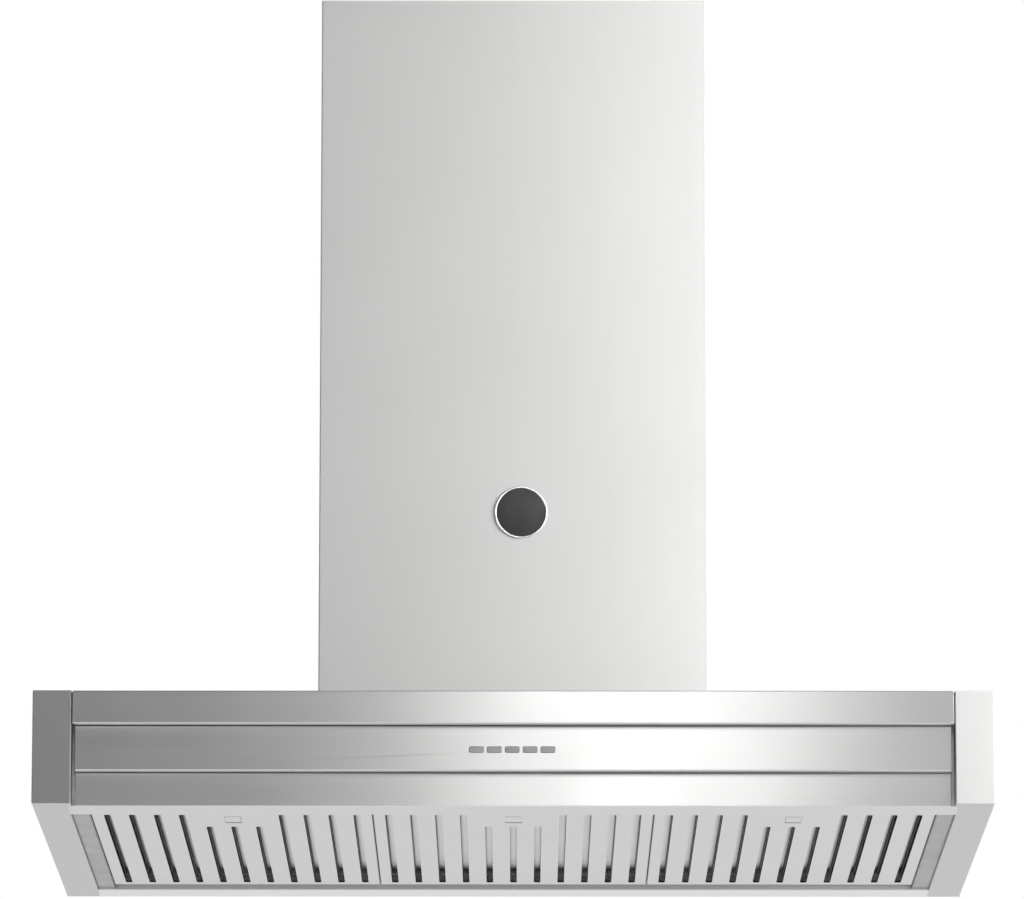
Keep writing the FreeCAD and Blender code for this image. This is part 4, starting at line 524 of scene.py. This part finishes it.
# %% Turning an outline about an axis
def turned(name, outline, centre, axis, steps=96, flats=0):
    """Spins (radius, along) points about Y or Z: a closed ring where no radius is zero, else a solid."""
    mesh = bpy.data.meshes.new(name)
    work = bmesh.new()
    ring_shaped = all(radius > 0 for radius, _ in outline)
    rows = []
    for step in range(steps):
        angle = math.tau * step / steps
        wide = 1.0
        if flats:
            part = (angle + math.pi / flats) % (math.tau / flats) - math.pi / flats
            wide = math.cos(math.pi / flats) / math.cos(part)
        row = []
        for radius, along in outline:
            if radius == 0 and step:
                row.append(rows[0][len(row)])
                continue
            u, v = radius * wide * math.cos(angle), radius * wide * math.sin(angle)
            spot = (u, along, v) if axis == "Y" else (u, v, along)
            row.append(work.verts.new(Vector(centre) + Vector(spot)))
        rows.append(row)
    count = len(outline)
    for step in range(steps):
        here, there = rows[step], rows[(step + 1) % steps]
        for index in range(count if ring_shaped else count - 1):
            after = (index + 1) % count
            corners = list(dict.fromkeys((here[index], here[after], there[after], there[index])))
            work.faces.new(corners)
    bmesh.ops.recalc_face_normals(work, faces=work.faces)
    for face in work.faces:
        face.smooth = True
    for edge in work.edges:
        edge.smooth = edge.calc_face_angle(0) < math.radians(40)
    work.to_mesh(mesh)
    work.free()
    return mesh


def stand_in(name, mesh, finish, body, slot, *replaced):
    """Puts a finished mesh in the scene on the body that carries it, and hides the CAD pieces it replaces."""
    piece = bpy.data.objects.new(name, mesh)
    scene.collection.objects.link(piece)
    mesh.materials.clear()
    mesh.materials.append(finish)
    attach(piece, body)
    if replaced:
        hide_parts(*replaced)
    print(name, "faces:", len(mesh.polygons))


# %% Badge ring and disc
ROUND, BULGE = 0.0006, 0.0005
ring_low, ring_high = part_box("badge_ring")
disc_low, disc_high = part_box("badge_disc")
middle = ((ring_low[0] + ring_high[0]) / 2, 0, (ring_low[2] + ring_high[2]) / 2)
ring_edge, disc_edge = (ring_high[0] - ring_low[0]) / 2, (disc_high[0] - disc_low[0]) / 2
ring_front, ring_back, disc_front = ring_low[1], ring_high[1], disc_low[1]
outline = [(disc_edge, ring_back), (ring_edge, ring_back), (ring_edge, ring_front + ROUND)]
outline += [(ring_edge - ROUND + ROUND * math.cos(math.radians(a)),
             ring_front + ROUND - ROUND * math.sin(math.radians(a))) for a in (30, 60, 90)]
outline += [(disc_edge + 0.0005, ring_front), (disc_edge + 0.0001, ring_front + 0.0003),
            (disc_edge, ring_front + 0.0008)]
stand_in("badge_ring_turned", turned("badge_ring_turned", outline, middle, "Y"), badge_chrome,
         "hood", "badge_chrome", "badge_ring")
outline = [(0, ring_back), (disc_edge, ring_back), (disc_edge, disc_front)]
outline += [(disc_edge * share, disc_front - BULGE * (1 - share ** 2)) for share in (0.9, 0.75, 0.55, 0.3)]
outline += [(0, disc_front - BULGE)]
stand_in("badge_disc_enamel", turned("badge_disc_enamel", outline, middle, "Y"), badge_black,
         "hood", "badge_black", "badge_disc")

# %% [markdown]
# ## The push buttons
# The caps are small satin mouldings with a soft edge. The CAD gives their true shape with its
# shoulder, so a copy of it is cleaned, and only its sharp edges are rounded. Each cap rides on its
# own body, and so it still presses in.

# %% Rounded caps
def rounded_copy(node, radius):
    mesh = nodes[node].data.copy()
    work = bmesh.new()
    work.from_mesh(mesh)
    bmesh.ops.remove_doubles(work, verts=work.verts, dist=1e-6)
    bmesh.ops.dissolve_limit(work, angle_limit=math.radians(2), verts=work.verts, edges=work.edges)
    sharp = [e for e in work.edges if e.is_manifold and e.calc_face_angle(0) > math.radians(50)]
    bmesh.ops.bevel(work, geom=sharp, offset=radius, segments=3, profile=0.6, affect="EDGES", clamp_overlap=True)
    for piece_face in work.faces:
        piece_face.smooth = True
    for edge in work.edges:
        edge.smooth = edge.calc_face_angle(0) < math.radians(35)
    work.to_mesh(mesh)
    work.free()
    return mesh


for index in range(1, 6):
    stand_in(f"button_cap_{index}", rounded_copy(f"button_{index}", 0.00035), button_plastic,
             f"button_{index}", "button_plastic", f"button_{index}")

# %% [markdown]
# ## Three trees for what repeats
# Screws, rivets and light chips are the same small piece over and over, so Geometry Nodes place
# them. One tree sets a piece on given points, one makes a straight row, one makes a ring. Each ends
# by making the copies real and giving them their finish, and the result becomes a plain mesh.

# %% Helpers for geometry trees
GEOMETRY, OBJECT = "NodeSocketGeometry", "NodeSocketObject"
MATERIAL, WHOLE = "NodeSocketMaterial", "NodeSocketInt"


def open_tree(name, inputs):
    tree = bpy.data.node_groups.new(name, "GeometryNodeTree")
    for label, kind in inputs:
        tree.interface.new_socket(label, in_out="INPUT", socket_type=kind)
    tree.interface.new_socket("Geometry", in_out="OUTPUT", socket_type=GEOMETRY)
    return tree, tree.nodes.new("NodeGroupInput").outputs


def close_tree(tree, given, points, facing, turn=None, upright=False):
    """Sets the piece on the points, facing the given way, then makes the copies real."""
    piece = add_node(tree, "GeometryNodeObjectInfo", {"Object": given["Piece"]})
    lean = add_node(tree, "FunctionNodeAlignRotationToVector", {"Vector": facing}, axis="Z")
    if upright:
        lean = add_node(tree, "FunctionNodeAlignRotationToVector", {"Rotation": lean.outputs[0]},
                        {"Vector": (0, 0, 1)}, axis="X", pivot_axis="Z")
    copies = add_node(tree, "GeometryNodeInstanceOnPoints",
                      {"Points": points, "Instance": piece.outputs["Geometry"], "Rotation": lean.outputs[0],
                       "Scale": given["Size"]})
    last = copies.outputs[0]
    if turn:
        last = add_node(tree, "GeometryNodeRotateInstances", {"Instances": last, "Rotation": turn}).outputs[0]
    real = add_node(tree, "GeometryNodeRealizeInstances", {"Geometry": last})
    coated = add_node(tree, "GeometryNodeSetMaterial", {"Geometry": real.outputs[0], "Material": given["Finish"]})
    add_node(tree, "NodeGroupOutput", {0: coated.outputs[0]})


def grown(name, tree, values, points=()):
    """Runs a tree on a few bare points and gives back the plain mesh that it makes."""
    seeds = bpy.data.meshes.new(name)
    seeds.from_pydata([spot for spot, _ in points], [], [])
    if points:
        facing = seeds.attributes.new("facing", "FLOAT_VECTOR", "POINT")
        for index, (_, way) in enumerate(points):
            facing.data[index].vector = way
    host = bpy.data.objects.new(name, seeds)
    scene.collection.objects.link(host)
    maker = host.modifiers.new("maker", "NODES")
    maker.node_group = tree
    for item in tree.interface.items_tree:
        if item.in_out == "INPUT" and item.name in values:
            maker[item.identifier] = values[item.name]
    ready = host.evaluated_get(bpy.context.evaluated_depsgraph_get())
    mesh = bpy.data.meshes.new_from_object(ready)
    host.modifiers.remove(maker)
    bpy.data.objects.remove(host)
    mesh.name = name
    return mesh


# %% The three trees
set_on_points, given = open_tree("set_on_points", [("Geometry", GEOMETRY), ("Piece", OBJECT), ("Size", FLOAT),
                                                   ("Seed", WHOLE), ("Finish", MATERIAL)])
way = add_node(set_on_points, "GeometryNodeInputNamedAttribute", values={"Name": "facing"},
               data_type="FLOAT_VECTOR")
chance = add_node(set_on_points, "FunctionNodeRandomValue", {"Seed": given["Seed"]}, data_type="FLOAT")
chance.inputs[3].default_value = math.tau
spin = add_node(set_on_points, "ShaderNodeCombineXYZ", {"Z": chance.outputs[1]})
close_tree(set_on_points, given, given["Geometry"], way.outputs["Attribute"], spin.outputs[0])

row_of_pieces, given = open_tree("row_of_pieces", [("Start", VECTOR), ("End", VECTOR), ("Spacing", FLOAT),
                                                   ("Facing", VECTOR), ("Piece", OBJECT), ("Size", FLOAT),
                                                   ("Finish", MATERIAL)])
line = add_node(row_of_pieces, "GeometryNodeMeshLine", {"Start Location": given["Start"], "Offset": given["End"],
                                                        "Resolution": given["Spacing"]},
                mode="END_POINTS", count_mode="RESOLUTION")
close_tree(row_of_pieces, given, line.outputs[0], given["Facing"])

ring_of_pieces, given = open_tree("ring_of_pieces", [("Centre", VECTOR), ("Radius", FLOAT), ("Count", WHOLE),
                                                     ("Piece", OBJECT), ("Size", FLOAT), ("Finish", MATERIAL)])
circle = add_node(ring_of_pieces, "GeometryNodeMeshCircle",
                  {"Vertices": given["Count"], "Radius": given["Radius"]})
outwards = add_node(ring_of_pieces, "GeometryNodeInputPosition")
spread = add_node(ring_of_pieces, "GeometryNodeCaptureAttribute", {"Geometry": circle.outputs[0]})
spread.capture_items.new("VECTOR", "outwards")
ring_of_pieces.links.new(outwards.outputs[0], spread.inputs["outwards"])
moved = add_node(ring_of_pieces, "GeometryNodeTransform", {"Geometry": spread.outputs[0],
                                                           "Translation": given["Centre"]})
close_tree(ring_of_pieces, given, moved.outputs[0], spread.outputs["outwards"], upright=True)
print("trees:", [t.name for t in bpy.data.node_groups if t.bl_idname == "GeometryNodeTree"])

# %% [markdown]
# ## Screws
# One kind of pan-head screw holds the box, the chimney, the collar and the motor. The head is a
# turned dome with a cross cut into it by a boolean, and the shank has thread ridges. The screws'
# places and directions are read from the islands of the CAD node, so that no place is written twice.
# A fixed seed turns each head its own way, as a screwdriver leaves them.

# %% Source pieces
def source_piece(name, mesh):
    """An object that only the trees use; it is removed when they have run."""
    piece = bpy.data.objects.new(name, mesh)
    scene.collection.objects.link(piece)
    return piece


def block_mesh(name, low, high, bevel=0.0):
    mesh = bpy.data.meshes.new(name)
    work = bmesh.new()
    bmesh.ops.create_cube(work, size=1)
    for vert in work.verts:
        vert.co = Vector([l + (h - l) * (c + 0.5) for l, h, c in zip(low, high, vert.co)])
    if bevel:
        bmesh.ops.bevel(work, geom=work.edges[:], offset=bevel, segments=2, profile=0.6, affect="EDGES")
    work.to_mesh(mesh)
    work.free()
    return mesh


MM = 0.001
HEAD_RADIUS, HEAD_HEIGHT, SHANK_RADIUS, SHANK_LENGTH = 3.8 * MM, 2.2 * MM, 2.0 * MM, 4.9 * MM
THREAD_PITCH, CROSS_ARM, CROSS_WIDTH, CROSS_DEPTH = 0.9 * MM, 4.0 * MM, 0.9 * MM, 1.3 * MM
outline = [(0, -SHANK_LENGTH), (SHANK_RADIUS * 0.7, -SHANK_LENGTH)]
for ridge in range(5):
    low = -SHANK_LENGTH + THREAD_PITCH * (ridge + 0.3)
    outline += [(SHANK_RADIUS * 0.82, low), (SHANK_RADIUS, low + THREAD_PITCH * 0.4)]
outline += [(SHANK_RADIUS * 0.82, 0), (HEAD_RADIUS, 0), (HEAD_RADIUS, HEAD_HEIGHT * 0.35)]
outline += [(HEAD_RADIUS * math.cos(math.radians(a)) ** 0.6,
             HEAD_HEIGHT * (0.35 + 0.65 * math.sin(math.radians(a)))) for a in (20, 40, 60, 75)]
outline += [(0, HEAD_HEIGHT)]
screw = source_piece("screw_source", turned("screw_source", outline, (0, 0, 0), "Z", steps=20))
for turn in (0, 90):
    half = Vector((CROSS_ARM, CROSS_WIDTH)) / 2 if turn == 0 else Vector((CROSS_WIDTH, CROSS_ARM)) / 2
    slot_tool = source_piece("cross", block_mesh("cross", (-half.x, -half.y, HEAD_HEIGHT - CROSS_DEPTH),
                                                 (half.x, half.y, HEAD_HEIGHT * 2)))
    cutter = screw.modifiers.new("cross", "BOOLEAN")
    cutter.operation, cutter.object, cutter.solver = "DIFFERENCE", slot_tool, "EXACT"
    cut = bpy.data.meshes.new_from_object(screw.evaluated_get(bpy.context.evaluated_depsgraph_get()))
    screw.modifiers.remove(cutter)
    screw.data = cut
    bpy.data.objects.remove(slot_tool)
print("screw faces:", len(screw.data.polygons))


# %% Places of the screws
def islands(node):
    """The boxes of a CAD node's separate solids, sorted by place so that every run has one order."""
    work = bmesh.new()
    work.from_mesh(nodes[node].data)
    bmesh.ops.remove_doubles(work, verts=work.verts, dist=1e-6)
    left, found = set(work.verts), []
    while left:
        reach, seen = [left.pop()], set()
        while reach:
            vert = reach.pop()
            seen.add(vert)
            for edge in vert.link_edges:
                other = edge.other_vert(vert)
                if other in left:
                    left.discard(other)
                    reach.append(other)
        spots = [v.co for v in seen]
        found.append([Vector([pick(c[i] for c in spots) for i in range(3)]) for pick in (min, max)])
    work.free()
    return sorted(found, key=lambda box: tuple(box[0]))


seats = []
for low, high in islands("pan_head_screws"):
    middle, size = (low + high) / 2, high - low
    if size.z == max(size) and abs(size.x - size.y) < MM:
        seats.append(((middle.x, middle.y, high.z - HEAD_HEIGHT), (0, 0, 1)))
    else:
        seats.append(((low.x + HEAD_HEIGHT, middle.y, middle.z), (-1, 0, 0)))
screws = grown("pan_head_screws_cut", set_on_points,
               {"Piece": screw, "Size": 1.0, "Seed": 7, "Finish": bright_steel}, seats)
stand_in("pan_head_screws_cut", screws, bright_steel, "hood", "bright_steel", "pan_head_screws")
print("screws:", len(seats))

# %% [markdown]
# Smaller screws of the same kind close the lids of the terminal box, the electronics box and the
# lamp driver, one in each corner.

# %% Lid screws
LID_INSET = 5 * MM
lid_seats = []
for node, side in (("terminal_box", "top"), ("electronics_box", "front"), ("lamp_driver", "front")):
    low, high = (Vector(v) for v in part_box(node))
    for x in (low.x + LID_INSET, high.x - LID_INSET):
        if side == "top":
            lid_seats += [((x, y, high.z), (0, 0, 1)) for y in (low.y + LID_INSET, high.y - LID_INSET)]
        else:
            lid_seats += [((x, low.y, z), (0, -1, 0)) for z in (low.z + LID_INSET, high.z - LID_INSET)]
lid_screws = grown("lid_screws", set_on_points,
                   {"Piece": screw, "Size": 0.55, "Seed": 3, "Finish": bright_steel}, lid_seats)
stand_in("lid_screws", lid_screws, bright_steel, "hood", "bright_steel")
bpy.data.objects.remove(screw)

# %% [markdown]
# ## Rivets on the blower box
# Blind rivets close the box's corner seams. Each is a low turned dome, and a row runs up each seam.

# %% Rivets
RIVET_RADIUS, RIVET_RISE, RIVET_SPACING, SEAM_INSET = 2.4 * MM, 1.0 * MM, 44 * MM, 9 * MM
FLANGE_WIDTH, LOWEST_RIVET, HIGHEST_RIVET = 12 * MM, 20 * MM, 12 * MM
outline = [(0, -0.2 * MM), (RIVET_RADIUS, -0.2 * MM)]
outline += [(RIVET_RADIUS * math.cos(math.radians(a)), RIVET_RISE * math.sin(math.radians(a)))
            for a in (0, 25, 50, 72)]
outline += [(0.8 * MM, RIVET_RISE), (0.6 * MM, RIVET_RISE * 0.6), (0, RIVET_RISE * 0.6)]
rivet = source_piece("rivet_source", turned("rivet_source", outline, (0, 0, 0), "Z", steps=14))
low, high = (Vector(v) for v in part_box("blower_box"))
wall_x = high.x - FLANGE_WIDTH
seams = []
for side in (-1, 1):
    for y in (low.y + SEAM_INSET, high.y - SEAM_INSET):
        seams.append(((wall_x * side, y, low.z + LOWEST_RIVET), (wall_x * side, y, high.z - HIGHEST_RIVET),
                      (side, 0, 0)))
rows = bmesh.new()
for start, end, way in seams:
    row = grown("rivet_row", row_of_pieces,
                {"Start": start, "End": end, "Spacing": RIVET_SPACING, "Facing": way,
                 "Piece": rivet, "Size": 1.0, "Finish": bright_steel})
    rows.from_mesh(row)
rivets = bpy.data.meshes.new("box_rivets")
rows.to_mesh(rivets)
rows.free()
stand_in("box_rivets", rivets, bright_steel, "hood", "bright_steel")
bpy.data.objects.remove(rivet)

# %% [markdown]
# ## Light chips
# Behind each frosted lens a board carries a row of small light chips, each one pale yellowish block
# with rounded edges. They face down into the lens.

# %% Light chips
CHIP_LOW, CHIP_HIGH, CHIP_ROUND = (-1.4 * MM, -1.8 * MM, 0), (1.4 * MM, 1.8 * MM, 0.7 * MM), 0.15 * MM
CHIP_SPACING, CHIP_INSET = 15 * MM, 8 * MM
chip_white = moulding("chip_white", (0.75, 0.72, 0.55), 0.4, 2500.0, relief=0.05)
chip = source_piece("chip_source", block_mesh("chip_source", CHIP_LOW, CHIP_HIGH, CHIP_ROUND))
low, high = (Vector(v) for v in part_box("lamp_boards"))
lens_low, lens_high = (Vector(v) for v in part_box("lamp_lens_left"))
lamp_x = (lens_low.x + lens_high.x) / 2
chips = bmesh.new()
for side in (-1, 1):
    row = grown("chip_row", row_of_pieces,
                {"Start": (lamp_x * side, low.y + CHIP_INSET, low.z),
                 "End": (lamp_x * side, high.y - CHIP_INSET, low.z), "Spacing": CHIP_SPACING,
                 "Facing": (0, 0, -1), "Piece": chip, "Size": 1.0, "Finish": chip_white})
    chips.from_mesh(row)
chip_mesh = bpy.data.meshes.new("light_chips")
chips.to_mesh(chip_mesh)
chips.free()
stand_in("light_chips", chip_mesh, chip_white, "hood", "circuit_board")
bpy.data.objects.remove(chip)

# %% [markdown]
# ## The cable gland
# A gland has a hexagonal foot, a short neck and a domed nut with grip ribs, all round one bore. The
# foot and nut are turned outlines, the foot with six flats, and a ring tree sets the ribs.

# %% Gland
BORE, FOOT_HEIGHT, NECK_TOP, RIBS = 4.5 * MM, 5 * MM, 7 * MM, 18
RIB_LOW, RIB_HIGH, RIB_ROUND = (-5 * MM, -0.4 * MM, -0.5 * MM), (5 * MM, 0.4 * MM, 0.5 * MM), 0.15 * MM
low, high = (Vector(v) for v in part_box("cable_gland"))
spot = ((low.x + high.x) / 2, (low.y + high.y) / 2, 0)
wide = (high.x - low.x) / 2
foot_top, neck_top = low.z + FOOT_HEIGHT, low.z + NECK_TOP
foot_outline = [
    (BORE, low.z), (wide - 0.4 * MM, low.z), (wide, low.z + 0.4 * MM), (wide, foot_top - 0.6 * MM),
    (wide - 0.6 * MM, foot_top), (BORE, foot_top)]
nut_outline = [
    (BORE, foot_top - 0.2 * MM), (wide - 2.2 * MM, foot_top - 0.2 * MM), (wide - 2.2 * MM, neck_top),
    (wide - 0.9 * MM, neck_top), (wide - 0.9 * MM, high.z - 6 * MM), (wide - 1.4 * MM, high.z - 3 * MM),
    (wide - 2.6 * MM, high.z - 0.8 * MM), (wide - 3.6 * MM, high.z), (BORE, high.z)]
foot = turned("gland_foot", foot_outline, spot, "Z", steps=72, flats=6)
nut = turned("gland_nut", nut_outline, spot, "Z", steps=72)
rib = source_piece("rib_source", block_mesh("rib_source", RIB_LOW, RIB_HIGH, RIB_ROUND))
ribs = grown("gland_ribs", ring_of_pieces,
             {"Centre": (spot[0], spot[1], (neck_top + high.z - 5 * MM) / 2), "Radius": wide - 0.8 * MM,
              "Count": RIBS, "Piece": rib, "Size": 1.0, "Finish": black_plastic})
bpy.data.objects.remove(rib)
reach = max(math.hypot(v.co.x - spot[0], v.co.y - spot[1]) for v in ribs.vertices)
print("ribs reach", round(reach / MM, 2), "mm of", round(wide / MM, 2))
whole = bmesh.new()
for part in (foot, nut, ribs):
    whole.from_mesh(part)
gland = bpy.data.meshes.new("gland_turned")
whole.to_mesh(gland)
whole.free()
stand_in("gland_turned", gland, black_plastic, "hood", "black_plastic", "cable_gland")
